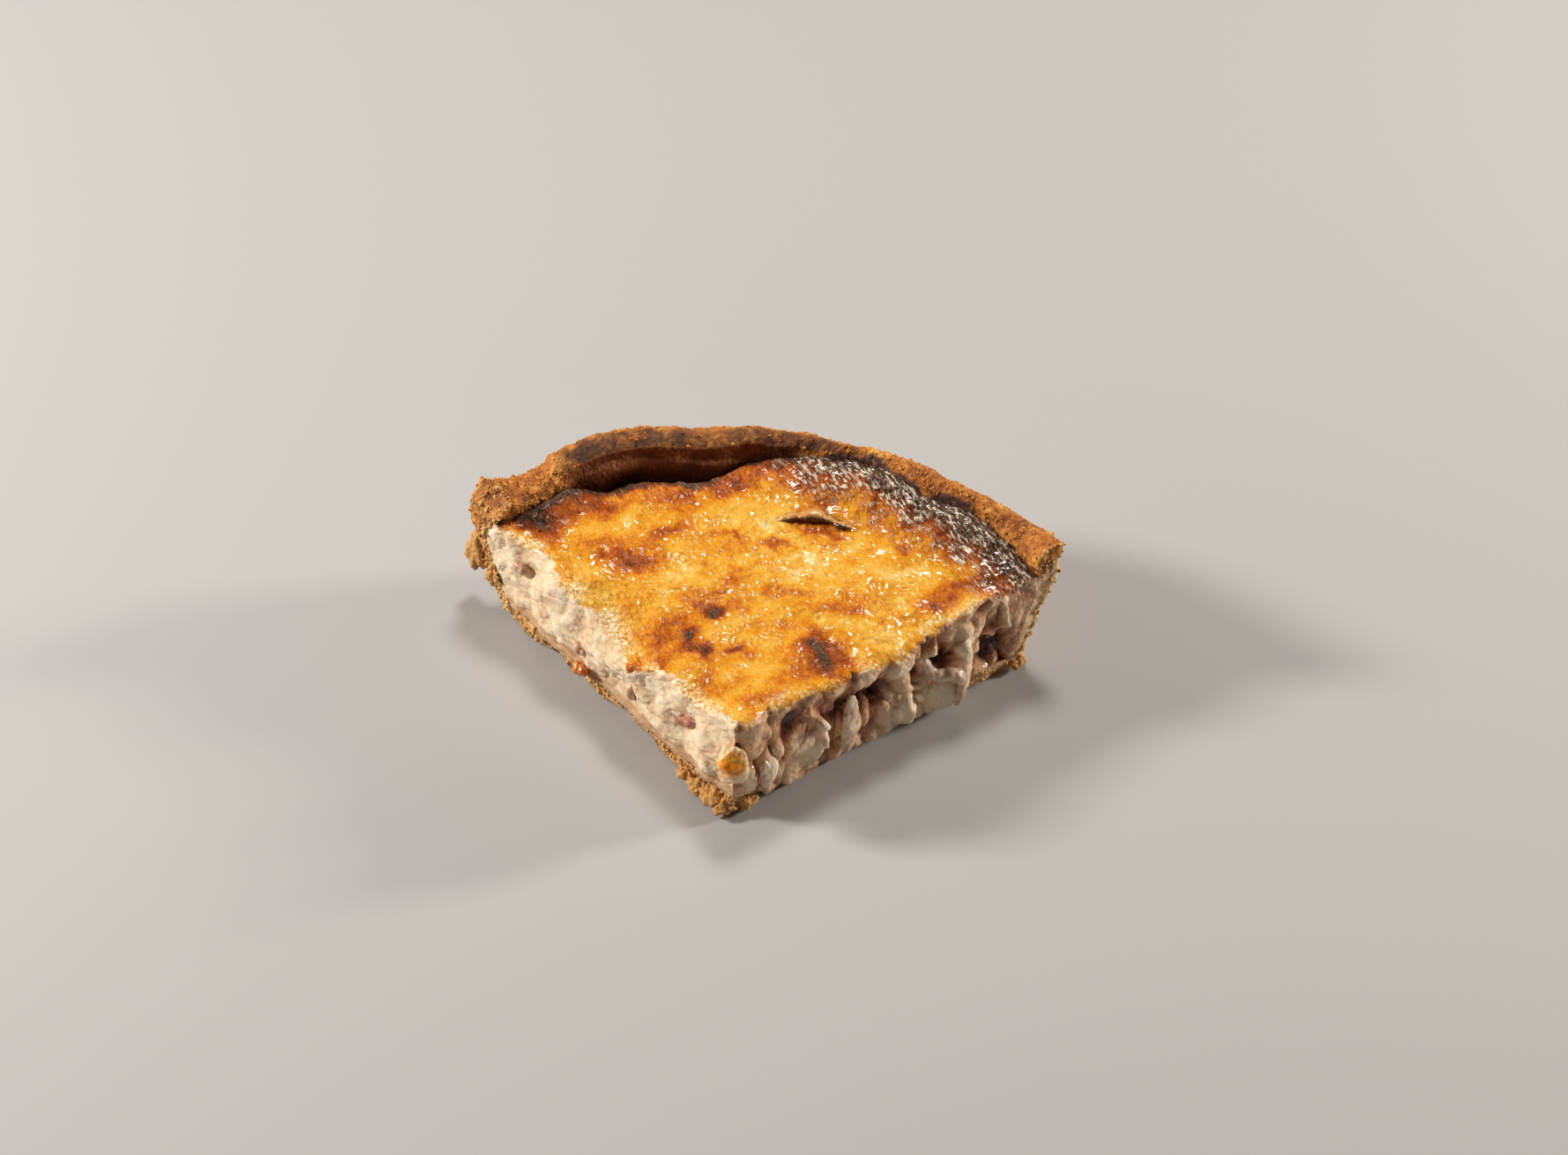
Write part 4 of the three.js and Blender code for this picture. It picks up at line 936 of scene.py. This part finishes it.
# %% Where each piece lies
CUT_FACING = {"left": cut_normal(np.array(False)), "right": cut_normal(np.array(True))}
FACING = {**CUT_FACING, "tip": np.array([0, -1, 0.2]), "up": np.array([0, 0, 1.0])}
MORSELS = {
    "browned_nugget": ("tip", [(-0.4, -0.4, 21), (0, -1.6, 16.5), (0.8, -1.4, 11.6)], 7, 4.6, "browned_bit"),
    "lardon_left_high": ("left", [(72.4, 18.6, -0.2), (70, 19.4, 0.6), (67.4, 19.2, -0.2)], 2.6, 2.6,
                         "lardon"),
    "lardon_left_middle": ("left", [(51, 11.4, 0.2), (48.9, 11, 1.1), (46.6, 10.4, 0.2)], 3, 2.8, "lardon"),
    "lardon_left_low": ("left", [(33.8, 13, -0.6), (32.9, 10.6, 0.4), (32.4, 8, -0.6)], 2.6, 2.8, "lardon"),
    "lardon_left_tip": ("left", [(21.5, 11.4, -0.8), (15.6, 14.6, -0.8), (10.4, 18, -0.6)], 2.8, 3, "lardon"),
    "crust_flake_left": ("left", [(49.8, 6.4, 0.7), (47.8, 6, 1.7), (45.6, 6.4, 0.8)], 2.8, 2.6, "pastry"),
    "lardon_right": ("right", [(22.4, 20.6, -2), (24.4, 17.8, -2.1), (26, 14, -1.7)], 4.6, 3.4, "lardon"),
    "onion_hanging": ("right", [(30.4, 17.8, 0.2), (29.4, 10.4, 1.4), (28.8, 2.8, 1.8)], 4.4, 1.8, "onion"),
    "onion_curl": ("right", [(49.4, 18.6, -0.4), (51.6, 13.2, 1.6), (55.4, 12.2, 3.6), (57.6, 9.4, 4.2),
                             (56.2, 2.8, 4.4)], 3.4, 3, "onion"),
    "onion_drip": ("right", [(7, 13.4, 1.4), (6.7, 9.8, 2.6), (7.2, 6, 2.8)], 3.2, 2, "onion"),
    "onion_top": ("up", [(1.9, 62.4, 25.5), (10, 64.2, 26.3), (18.3, 62.4, 25.7)], 2.8, 2, "browned_bit"),
}


def on_cut(side, along, up, out):
    """A place on a cut: so far from the tip, so high, and so far out of the stroke."""
    way = np.array([(1 if side == "right" else -1) * math.sin(HALF_ANGLE), math.cos(HALF_ANGLE), 0])
    return way * along + CUT_FACING[side] * out + np.array([0, 0, up])


print(len(MORSELS), "small pieces")

# %% Strips along curves
STRIP_COLUMNS = 40
STRIP_ROWS = 72
FULLNESS = 0.45
HEART_AT = 0.36


def curve_through(places, share):
    """A Catmull-Rom curve through the places, with its direction by small differences."""
    def at(t):
        return np.stack([even_steps(values, t) for values in zip(*places)], -1)

    way = at(share + 0.01) - at(share - 0.01)
    return at(share), way / np.linalg.norm(way, axis=-1, keepdims=True)


def strip(places, wide, thick, facing, seed, shaken):
    """Flattened circles along the curve, full in the middle as sin^0.45, then shaken by grain."""
    facing = facing / np.linalg.norm(facing)
    share = np.linspace(0, 1, STRIP_ROWS)
    point, way = curve_through(places, share)
    side = np.cross(way, np.broadcast_to(facing, way.shape))
    side /= np.linalg.norm(side, axis=-1, keepdims=True)
    depth = np.cross(side, way)
    fullness = np.sin(np.pi * share) ** FULLNESS
    fullness[[0, -1]] = 0
    around = -np.linspace(0, 2 * np.pi, STRIP_COLUMNS, endpoint=False)
    ring = (side[:, None] * (wide / 2 * np.cos(around))[None, :, None]
            + depth[:, None] * (thick / 2 * np.sin(around))[None, :, None])
    points = (point[:, None] + ring * fullness[:, None, None]).reshape(-1, 3)
    kept_corners, faces = weld(points, ring_grid(STRIP_COLUMNS, STRIP_ROWS))
    points = points[kept_corners]
    shake = 0.3 * grain(points, 2.2, seed) + 0.14 * grain(points, 0.9, seed + 9)
    shake = shake + 0.3 * lumps(points, 1.6, seed)
    front = point[int(HEART_AT * STRIP_ROWS)] + facing * thick / 2
    masks = {"side": np.tile(np.abs(np.cos(around)), STRIP_ROWS)[kept_corners],
             "heart": bell(np.linalg.norm(points - front, axis=1) / (0.45 * wide))}
    return points + normals_of(points, faces) * shaken * shake[:, None], faces, masks


THINNER = {"lardon": 0.7, "onion_top": 0.8}
SHAKEN = {"lardon": 1.5, "browned_bit": 1.7, "onion": 1.1, "pastry": 1.4}
SEED_STEP = 13
morsel_pieces = {}
for number, (node, (side, places, wide, thick, slot)) in enumerate(MORSELS.items()):
    if side in CUT_FACING:
        places = [on_cut(side, *place) for place in places]
    thick = thick * THINNER.get(node, THINNER.get(slot, 1))
    points, faces, masks = strip(places, wide, thick, FACING[side], SEED_STEP * number, SHAKEN[slot])
    piece = make_piece(node + "_cooked", points, faces, **masks)
    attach(piece, "root")
    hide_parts(node)
    morsel_pieces[node] = piece

# %% [markdown]
# ## Crumbs
#
# Crumbs cling to the rim, to the pastry's cut edges and to the tip. Each is a tiny craggy ball of a few dozen
# faces, set on a point of the surface that carries it, so none floats. A seeded draw picks the points, more
# of them where the weight is large.

# %% Scattered crumbs
CRUMB_COLUMNS = 7
CRUMB_ROWS = 5
CRUMB_CRAGS = 0.3
CRUMB_STRETCH = 0.35
CRUMB_HEIGHT = 0.8
MOSTLY_SMALL = 2.5
TIP_REACH = 9
RIM_CRUMBS = {"count": 2200, "smallest": 0.11, "largest": 0.36, "seed": 5}
CUT_CRUMBS = {"count": 1300, "smallest": 0.14, "largest": 0.7, "seed": 8}


def scatter(surface, weight, count, smallest, largest, seed):
    """Craggy balls on drawn points of a surface: radius between the two sizes, mostly small."""
    draw = np.random.default_rng(seed)
    chosen = draw.choice(len(surface), count, replace=False, p=weight / weight.sum())
    radius = smallest + (largest - smallest) * draw.random(count) ** MOSTLY_SMALL
    ball = unit_ball(CRUMB_COLUMNS, CRUMB_ROWS)
    corners, faces = weld(ball, ring_grid(CRUMB_COLUMNS, CRUMB_ROWS))
    ball = ball[corners]
    crags = 1 + CRUMB_CRAGS * draw.uniform(-1, 1, (count, len(ball), 1))
    turn = draw.random((count, 1)) * 2 * np.pi
    stretch = 1 + CRUMB_STRETCH * draw.uniform(-1, 1, (count, 1, 3))
    shape = ball[None] * crags * stretch * radius[:, None, None] * [1, 1, CRUMB_HEIGHT]
    points = (turned(shape, turn) + surface[chosen][:, None]).reshape(-1, 3)
    points[:, 2] = np.maximum(points[:, 2], 0)
    return points, (faces[None] + (np.arange(count) * len(ball))[:, None, None]).reshape(-1, 3)


near_tip = np.exp(-np.hypot(shell_points[:, 0], shell_points[:, 1]) / TIP_REACH)
golden = (1.3 * on_rim * (1 - toast) ** 2 * (1 - char) + 0.03 * is_outside * is_wall) * ~is_cut * (1 - slope)
golden = golden * (1 + 1.6 * (shell_angle < LEFT_END_AT))
broken = (is_cut + 3 * near_tip * is_cut) * (1 - smear) * (1 - painted_lit_edge) * (shell_points[:, 2] > 0.3)
points, faces = scatter(shell_points, golden, **RIM_CRUMBS)
rim_crumbs = make_piece("rim_crumbs", points, faces)
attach(rim_crumbs, "root")
points, faces = scatter(shell_points, broken, **CUT_CRUMBS)
cut_crumbs = make_piece("cut_crumbs", points, faces)
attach(cut_crumbs, "root")

# %% [markdown]
# ## Materials
#
# Colours are given as they look on a screen and turned into the linear values that shaders use. Two effects
# are shared by several finishes, so each is a node group: mottling, which is noise of two sizes, and fine
# relief, which turns noise into a bumped normal.

# %% Colours and inputs
def screen(red, green, blue):
    """Screen values from 0 to 255 as linear red, green, blue and full alpha."""
    linear = [((v / 255 + 0.055) / 1.055) ** 2.4 if v > 10 else v / 255 / 12.92 for v in (red, green, blue)]
    return (*linear, 1.0)


def connect(socket, value):
    """Give an input its value: an output is linked to it, a number or a colour is set."""
    if isinstance(value, bpy.types.NodeSocket):
        socket.id_data.links.new(value, socket)
    else:
        socket.default_value = value


def feed(node, **values):
    """Connect a node's inputs by name, with _ for a space, and give back its first output."""
    for label, value in values.items():
        connect(node.inputs[label.replace("_", " ")], value)
    return node.outputs[0]


print("mid grey as a linear value:", round(screen(128, 128, 128)[0], 3))

# %% Places and textures
STREAK_TURN = math.radians(-52)
NOISE_ROUGHNESS = 0.55


def object_place(tree):
    """The Object coordinates of the piece."""
    return tree.nodes.new("ShaderNodeTexCoord").outputs["Object"]


def along_streaks(tree, stretch):
    """Object coordinates drawn out along the way the streaks of the skin run."""
    lengths = feed(tree.nodes.new("ShaderNodeCombineXYZ"), X=stretch, Y=1.0, Z=1.0)
    mapping = tree.nodes.new("ShaderNodeMapping")
    mapping.vector_type = "TEXTURE"
    return feed(mapping, Vector=object_place(tree), Rotation=(0, 0, STREAK_TURN), Scale=lengths)


def add_noise(place, scale, detail):
    """A noise texture on coordinates."""
    texture = place.id_data.nodes.new("ShaderNodeTexNoise")
    return feed(texture, Vector=place, Scale=scale, Detail=detail, Roughness=NOISE_ROUGHNESS)


print("streaks run at", round(math.degrees(STREAK_TURN)), "degrees")

# %% Sums, ranges and ramps
def add_math(operation, first, second):
    """A math node on an output and a second output or number."""
    step = first.id_data.nodes.new("ShaderNodeMath")
    step.operation = operation
    connect(step.inputs[0], first)
    connect(step.inputs[1], second)
    return step.outputs[0]


def times(first, second):
    """The product of two values."""
    return add_math("MULTIPLY", first, second)


def plus(first, second):
    """The sum of two values."""
    return add_math("ADD", first, second)


def add_range(value, low, high, to_low=0, to_high=1):
    """Carry a value from one range to another, clamped."""
    node = value.id_data.nodes.new("ShaderNodeMapRange")
    return feed(node, Value=value, From_Min=low, From_Max=high, To_Min=to_low, To_Max=to_high)


def add_ramp(value, *stops):
    """A colour ramp through stops, each a position and a screen colour."""
    ramp = value.id_data.nodes.new("ShaderNodeValToRGB")
    elements = ramp.color_ramp.elements
    while len(elements) < len(stops):
        elements.new(0.5)
    for element, (position, *colour) in zip(elements, stops):
        element.position = position
        element.color = screen(*colour)
    return feed(ramp, Fac=value)


def add_mix(share, first, second):
    """Blend two colours by a share."""
    mix = share.id_data.nodes.new("ShaderNodeMix")
    mix.data_type = "RGBA"
    for number, value in ((0, share), (6, first), (7, second)):
        connect(mix.inputs[number], value)
    return mix.outputs[2]

# %% Shared node groups
def node_group(name, output, kind, **inputs):
    """An empty shader group with named number inputs and one output, and its start and its end."""
    group = bpy.data.node_groups.new(name, "ShaderNodeTree")
    for label, value in inputs.items():
        group.interface.new_socket(label.replace("_", " "), in_out="INPUT",
                                   socket_type="NodeSocketFloat").default_value = value
    group.interface.new_socket(output, in_out="OUTPUT", socket_type=kind)
    return group, group.nodes.new("NodeGroupInput").outputs, group.nodes.new("NodeGroupOutput").inputs


mottling, start, end = node_group("mottling", "Value", "NodeSocketFloat",
                                  Patch_scale=300.0, Speck_scale=1200.0, Speck_share=0.4)
patches = add_noise(object_place(mottling), start["Patch scale"], 3)
specks = add_noise(object_place(mottling), start["Speck scale"], 2)
connect(end["Value"], plus(patches, times(add_math("SUBTRACT", specks, patches), start["Speck share"])))

fine_relief, start, end = node_group("fine_relief", "Normal", "NodeSocketVector",
                                     Scale=900.0, Depth=0.0003, Strength=0.5, Stretch=1.0)
grains = add_noise(along_streaks(fine_relief, start["Stretch"]), start["Scale"], 2.5)
connect(end["Normal"], feed(fine_relief.nodes.new("ShaderNodeBump"), Height=grains,
                            Distance=start["Depth"], Strength=start["Strength"]))
print("node groups", mottling.name, fine_relief.name)

# %% Material helpers
def new_material(name):
    """A material with its Principled shader, ready for links."""
    material = bpy.data.materials.new(name)
    material.use_nodes = True
    return material, material.node_tree, material.node_tree.nodes["Principled BSDF"]


def use_group(tree, group, **values):
    """A placed node group with its own values."""
    node = tree.nodes.new("ShaderNodeGroup")
    node.node_tree = group
    return feed(node, **values)


def mottled(tree, patches, specks, share):
    """The mottling group: the two scales, and the share of the specks."""
    return use_group(tree, mottling, Patch_scale=patches, Speck_scale=specks, Speck_share=share)


def mask(tree, name):
    """A value stored on the mesh."""
    node = tree.nodes.new("ShaderNodeAttribute")
    node.attribute_name = name
    return node.outputs["Fac"]

# %% [markdown]
# Baked custard has two faces. The skin runs from cream through gold and amber to almost black, and shines,
# because butter and cream rose to it; where it is brownest it has shrunk into short creases, all lying one
# way, and these are painted pale as streaks of glint, a painted highlight. Its pale flecks are partly pale
# grains and partly painted glints. Froth, a line of pale bubbles, set along both brows; its whitest specks
# are painted glints. The torn inside is matt, pale and slightly translucent, and pinker in places. Its lumps
# are painted lighter and its hollows darker, as painted shade, and the wet right cut is painted a darker
# taupe, as painted shade, darkest in its hollows. One material holds all of it, and masks on the mesh say
# where each is.

# %% Custard: the skin
custard_material, tree, shader = new_material("baked_custard")
browned = plus(mask(tree, "brown"), add_range(mottled(tree, 420, 1300, 0.45), 0.3, 0.7, -0.15, 0.15))
skin_colour = add_ramp(browned, (0, 249, 217, 144), (0.15, 238, 181, 66), (0.3, 230, 157, 30),
                       (0.46, 212, 120, 4), (0.61, 174, 78, 1), (0.77, 130, 57, 5), (0.9, 98, 52, 24),
                       (1, 88, 58, 42))
# Pale flecks over the skin: partly pale grains, partly painted glints.
flecks = add_noise(object_place(tree), 1500, 2)
# The froth's colour: pale cream bubbles, whose whitest specks are painted glints.
froth_and_glint_colour = add_ramp(flecks, (0.38, 198, 112, 38), (0.46, 236, 178, 88), (0.54, 250, 222, 162),
                        (0.64, 255, 247, 228))
fleck_and_glint_share = times(add_range(flecks, 0.56, 0.68), add_range(browned, 0.3, 0.6, 0.36, 0.1))
skin_colour = add_mix(fleck_and_glint_share, skin_colour, screen(255, 222, 150))
# Short creases on the brownest skin near the rim, raised by a bump and painted pale as streaks of glint: a
# painted highlight.
streaked = along_streaks(tree, 3.0)
creases_and_glints = add_range(add_noise(streaked, 1500, 2), 0.48, 0.59)
creases_and_glints = times(creases_and_glints, add_range(add_noise(streaked, 340, 2), 0.38, 0.5))
creases_and_glints = times(creases_and_glints, add_range(browned, 0.36, 0.62))
creases_and_glints = times(creases_and_glints, mask(tree, "streaks"))
skin_colour = add_mix(creases_and_glints, skin_colour, screen(252, 234, 208))
print("skin", len(tree.nodes), "nodes")

# %% Custard: the torn inside
moist = mask(tree, "moist")
# The curd's height, with mottling, drives the inside colour: lumps lighter and hollows darker, as painted
# shade.
inside = plus(times(mask(tree, "curd"), 0.6), times(mottled(tree, 260, 900, 0.4), 0.5))
cream = add_ramp(inside, (0.2, 202, 156, 114), (0.42, 230, 198, 158), (0.58, 244, 222, 186),
                 (0.8, 252, 238, 212))
pink = add_ramp(inside, (0.2, 186, 134, 102), (0.42, 212, 168, 134), (0.58, 230, 192, 160),
                (0.8, 242, 214, 188))
# The right cut's colour: a darker taupe than the cream, painted shade, darkest in the hollows.
shaded_taupe = add_ramp(inside, (0.26, 76, 38, 24), (0.38, 140, 88, 60), (0.5, 200, 146, 108), (0.62, 238, 198, 158),
                 (0.78, 254, 232, 200))
inside_colour = add_mix(add_range(mottled(tree, 190, 420, 0.3), 0.48, 0.62, 0, 0.55), cream, pink)
inside_colour = add_mix(moist, inside_colour, shaded_taupe)
print("skin and inside", len(tree.nodes), "nodes")

# %% Custard: both together
edge = add_range(mottled(tree, 700, 1900, 0.5), 0.3, 0.7, -0.25, 0.25)
on_skin = add_range(plus(mask(tree, "skin"), edge), 0.42, 0.58)
wet = add_range(mottled(tree, 240, 800, 0.5), 0.44, 0.6, 0.05, 1)
glossy = times(add_math("MAXIMUM", on_skin, add_range(moist, 0, 1, 0.5, 1)), mask(tree, "gloss"))
relief_depth = times(add_range(mask(tree, "brown"), 0.3, 0.9, 0.0009, 0.0018),
                     add_range(on_skin, 0, 1, 0.6, 1))
relief = use_group(tree, fine_relief, Scale=1050, Strength=0.9, Stretch=2.2, Depth=relief_depth)
creased = feed(tree.nodes.new("ShaderNodeBump"), Strength=0.8, Distance=0.0008, Height=creases_and_glints,
               Normal=relief)
surface_colour = add_mix(on_skin, inside_colour, skin_colour)
feed(shader, Base_Color=add_mix(times(mask(tree, "froth"), 0.85), surface_colour, froth_and_glint_colour),
     Roughness=add_math("SUBTRACT", add_range(browned, 0.6, 1, 0.55, 0.36),
                        times(moist, add_range(on_skin, 0, 1, 0.2, 0))),
     Specular_IOR_Level=0.12, Coat_Weight=times(wet, glossy), Coat_Roughness=0.06,
     Subsurface_Weight=0.2, Subsurface_Radius=(1.0, 0.5, 0.25), Subsurface_Scale=0.0025,
     Normal=creased)
custard.data.materials.append(custard_material)
print(custard_material.name, len(tree.nodes), "nodes")

# %% [markdown]
# Pastry is matt and sandy. Where crumbs of it stand proud it is painted golden, as painted highlight, and the
# pits between them are painted dark, as painted shade. It is evenly brown where it met the tin, paler where
# it broke, and dark and shiny on the inner wall, where a film of custard caramelised onto it. A thin line
# along the film's ledge and the outer edge of the right cut's wall are painted pale, as painted highlights.
# The finish is painted in layers, as the oven did it. Each row below names the mask of a layer, what drives
# its colour and the stops of its ramp, and each layer is laid over the ones before it.

# %% Pastry
pastry_material, tree, shader = new_material("baked_pastry")
patchy = mottled(tree, 190, 1100, 0.5)
even = mottled(tree, 90, 1400, 0.6)
# The raised height paints the peaks golden, as painted highlight, and the pits dark, as painted shade.
height = plus(times(mask(tree, "peak_highlight_pit_shade"), 0.5), times(patchy, 0.5))
colour = add_ramp(height, (0.3, 116, 58, 16), (0.45, 172, 97, 30), (0.58, 205, 130, 48), (0.72, 237, 180, 92))
LAYERS = {
    "oven_side": (even, (0.3, 156, 92, 36), (0.48, 186, 118, 52), (0.6, 204, 140, 70), (0.74, 226, 172, 104)),
    "crumb": (height, (0.3, 156, 102, 50), (0.5, 206, 154, 88), (0.72, 238, 194, 126)),
    "smear": (patchy, (0.32, 176, 126, 92), (0.5, 222, 180, 142), (0.68, 246, 216, 182)),
    "toast": (height, (0.3, 66, 36, 14), (0.46, 92, 52, 22), (0.58, 114, 68, 30), (0.72, 162, 106, 50)),
    "slope": (patchy, (0.3, 80, 38, 16), (0.46, 114, 58, 25), (0.58, 140, 78, 34), (0.7, 186, 126, 68)),
    "film": (patchy, (0.3, 62, 30, 14), (0.5, 112, 54, 24), (0.7, 152, 84, 38)),
    # painted highlight along the ledge
    "ledge_highlight": (patchy, (0, 186, 124, 64), (1, 186, 124, 64)),
    "char": (patchy, (0.34, 50, 28, 20), (0.48, 78, 46, 30), (0.6, 112, 72, 48), (0.7, 186, 150, 116)),
    "pale_patch": (patchy, (0, 206, 152, 106), (1, 206, 152, 106)),
    # painted highlight on the lit outer edge of the right cut
    "painted_lit_edge": (patchy, (0.32, 214, 170, 112), (0.5, 244, 218, 168), (0.68, 255, 242, 212)),
    "under": (even, (0.36, 132, 80, 38), (0.47, 168, 110, 58), (0.56, 192, 136, 80), (0.68, 222, 176, 118)),
}
for name, (driver, *stops) in LAYERS.items():
    share = mask(tree, name)
    if name == "pale_patch":
        share = times(share, patchy)
    colour = add_mix(share, colour, add_ramp(driver, *stops))
feed(shader, Base_Color=colour, Roughness=add_range(mask(tree, "film"), 0, 1, 0.78, 0.42),
     Normal=use_group(tree, fine_relief, Scale=1300, Depth=0.0006, Strength=0.8))
crust.data.materials.append(pastry_material)
print(pastry_material.name, len(tree.nodes), "nodes")

# %% Crumbs
def crumb_finish(name, *stops):
    """A dry mottled crumb with fine relief."""
    material, tree, shader = new_material(name)
    feed(shader, Base_Color=add_ramp(mottled(tree, 230, 900, 0.6), *stops), Roughness=0.8,
         Normal=use_group(tree, fine_relief, Scale=1800, Depth=0.0003, Strength=0.6))
    return material


rim_crumbs.data.materials.append(crumb_finish(
    "golden_crumb", (0.32, 146, 80, 25), (0.48, 204, 130, 46), (0.62, 233, 173, 78), (0.74, 245, 202, 116)))
cut_crumbs.data.materials.append(crumb_finish(
    "pale_crumb", (0.32, 164, 108, 54), (0.5, 214, 164, 98), (0.7, 242, 204, 142)))
print("crumbs finished")

# %% [markdown]
# The small pieces are moist, so they shine a little. Bacon is brown-pink with paler fat, onion is a pale,
# slightly see-through beige, and the caramelised bits go from orange to brown. A browned bit fades from its
# heart into a border, so it has two colours and a mask on the mesh between them.

# %% Bacon, onion and caramel
def moist_finish(name, roughness, coat, translucent, patch_scale, *stops):
    """A wet cooked surface: a mottled ramp, a coat, some light through it and fine relief."""
    material, tree, shader = new_material(name)
    patchy = mottled(tree, patch_scale, 900, 0.35)
    feed(shader, Base_Color=add_ramp(patchy, *stops),
         Roughness=add_range(patchy, 0.35, 0.65, roughness, roughness + 0.15), Coat_Weight=coat,
         Coat_Roughness=0.15, Subsurface_Weight=translucent, Subsurface_Scale=0.002,
         Normal=use_group(tree, fine_relief, Scale=900, Depth=0.0004, Strength=0.5))
    return material


def caramel_finish(name, border, mask_name, low, high, *stops):
    """A browned bit: its heart has a mottled ramp, and a mask on the mesh fades it into a border colour."""
    material = moist_finish(name, 0.3, 0.6, 0.15, 230, *stops)
    tree = material.node_tree
    shader = tree.nodes["Principled BSDF"]
    heart = shader.inputs["Base Color"].links[0].from_socket
    share = plus(mask(tree, mask_name), add_range(mottled(tree, 420, 900, 0.4), 0.3, 0.7, -0.2, 0.2))
    feed(shader, Base_Color=add_mix(add_range(share, low, high), screen(*border), heart))
    return material


bacon = moist_finish("cooked_bacon", 0.4, 0.35, 0.2, 330, (0.3, 166, 120, 94), (0.46, 198, 156, 124),
                     (0.6, 222, 186, 152), (0.74, 238, 212, 180))
# A darker copy of the bacon: on the right cut's lardon, which lies in shade, it is painted shade; the lardon
# at the left tip uses it too.
lean_and_shaded = moist_finish("lean_and_shaded_bacon", 0.4, 0.4, 0.2, 330, (0.3, 124, 62, 44), (0.5, 172, 104, 76),
                    (0.72, 206, 150, 116))
onion = moist_finish("cooked_onion", 0.3, 0.7, 0.3, 260, (0.3, 178, 138, 110), (0.5, 222, 190, 160),
                     (0.7, 250, 232, 210))
amber = moist_finish("amber_flake", 0.3, 0.6, 0.15, 330, (0.3, 128, 54, 12), (0.5, 196, 100, 26),
                     (0.7, 232, 158, 70))
nugget = caramel_finish("caramelised_custard", (240, 208, 158), "heart", 0.2, 0.5, (0.3, 222, 110, 10),
                        (0.46, 250, 148, 18), (0.6, 255, 184, 58), (0.74, 255, 212, 124))
curl = caramel_finish("browned_strip", (214, 156, 86), "side", 0.5, 0.85, (0.3, 40, 22, 14),
                      (0.5, 66, 36, 18), (0.7, 120, 70, 34))
FINISHES = {"lardon": bacon, "onion": onion, "browned_nugget": nugget, "onion_top": curl,
            "lardon_right": lean_and_shaded, "lardon_left_tip": lean_and_shaded, "crust_flake_left": amber}
for node, piece in morsel_pieces.items():
    piece.data.materials.append(FINISHES.get(node, FINISHES.get(node.split("_")[0])))
    print(piece.name, "is", piece.data.materials[0].name)

# %% [markdown]
# ## Floor, light and camera
#
# The slice lies on a plain pale floor. The main light stands to the left and a little behind, so that the
# left cut is bright, the right cut is in shade and the rim shadows the custard below it; a second light
# behind skims the skin and makes it glint. The camera looks down at 45 degrees, as someone at the table does.

# %% Stage
bpy.ops.mesh.primitive_plane_add(size=6, location=(0, 0, -0.0004))
floor = bpy.context.object
floor.name = "floor"
floor_material, tree, shader = new_material("pale_floor")
feed(shader, Base_Color=screen(184, 183, 181), Roughness=0.8)
floor.data.materials.append(floor_material)
print(floor.name, "is", floor_material.name)

# %% Lights
SLICE_MIDDLE = np.array([0, 0, 0.015])
LIGHTS = {
    "key_left": ((-0.82, -0.02, 0.42), 0.15, 9, (1.0, 0.96, 0.91)),
    "back_glint": ((0.02, 0.46, 0.92), 0.2, 4.8, (1.0, 0.96, 0.9)),
    "rim_right": ((0.8, 0.34, 0.28), 0.12, 6.2, (1.0, 0.94, 0.86)),
}
for name, (place, size, power, colour) in LIGHTS.items():
    light = bpy.data.lights.new(name, "AREA")
    light.shape = "SQUARE"
    light.size = size
    light.energy = power
    light.color = colour
    lamp = bpy.data.objects.new(name, light)
    lamp.location = place
    x, y, z = SLICE_MIDDLE - place
    lamp.rotation_euler = (math.atan2(math.hypot(x, y), -z), 0, math.atan2(-x, y))
    bpy.context.collection.objects.link(lamp)
world = bpy.data.worlds.new("soft_room")
world.use_nodes = True
feed(world.node_tree.nodes["Background"], Color=(1.0, 0.93, 0.85, 1), Strength=0.07)
bpy.context.scene.world = world
bpy.context.scene.view_settings.view_transform = "Standard"
print(", ".join(LIGHTS))

# %% Camera
CAMERA_PLACE = np.array([40.2, -508.6, 592.5])
CAMERA_RIGHT = (0.9938, 0.1034, 0.0399)
CAMERA_UP = (-0.1017, 0.7084, 0.6984)
CAMERA_BACK = (0.0439, -0.6982, 0.7146)
camera_data = bpy.data.cameras.new("camera")
camera_data.lens = 85
camera_data.sensor_width = 36
camera_data.clip_start = 0.01
camera = bpy.data.objects.new("camera", camera_data)
bpy.context.collection.objects.link(camera)
place = (CAMERA_PLACE - TIP_TO_MIDDLE) / 1000
columns = np.column_stack([CAMERA_RIGHT, CAMERA_UP, CAMERA_BACK, place])
camera.matrix_world = Matrix([*columns.tolist(), [0, 0, 0, 1]])
bpy.context.scene.camera = camera
print("camera at", place.round(3).tolist())
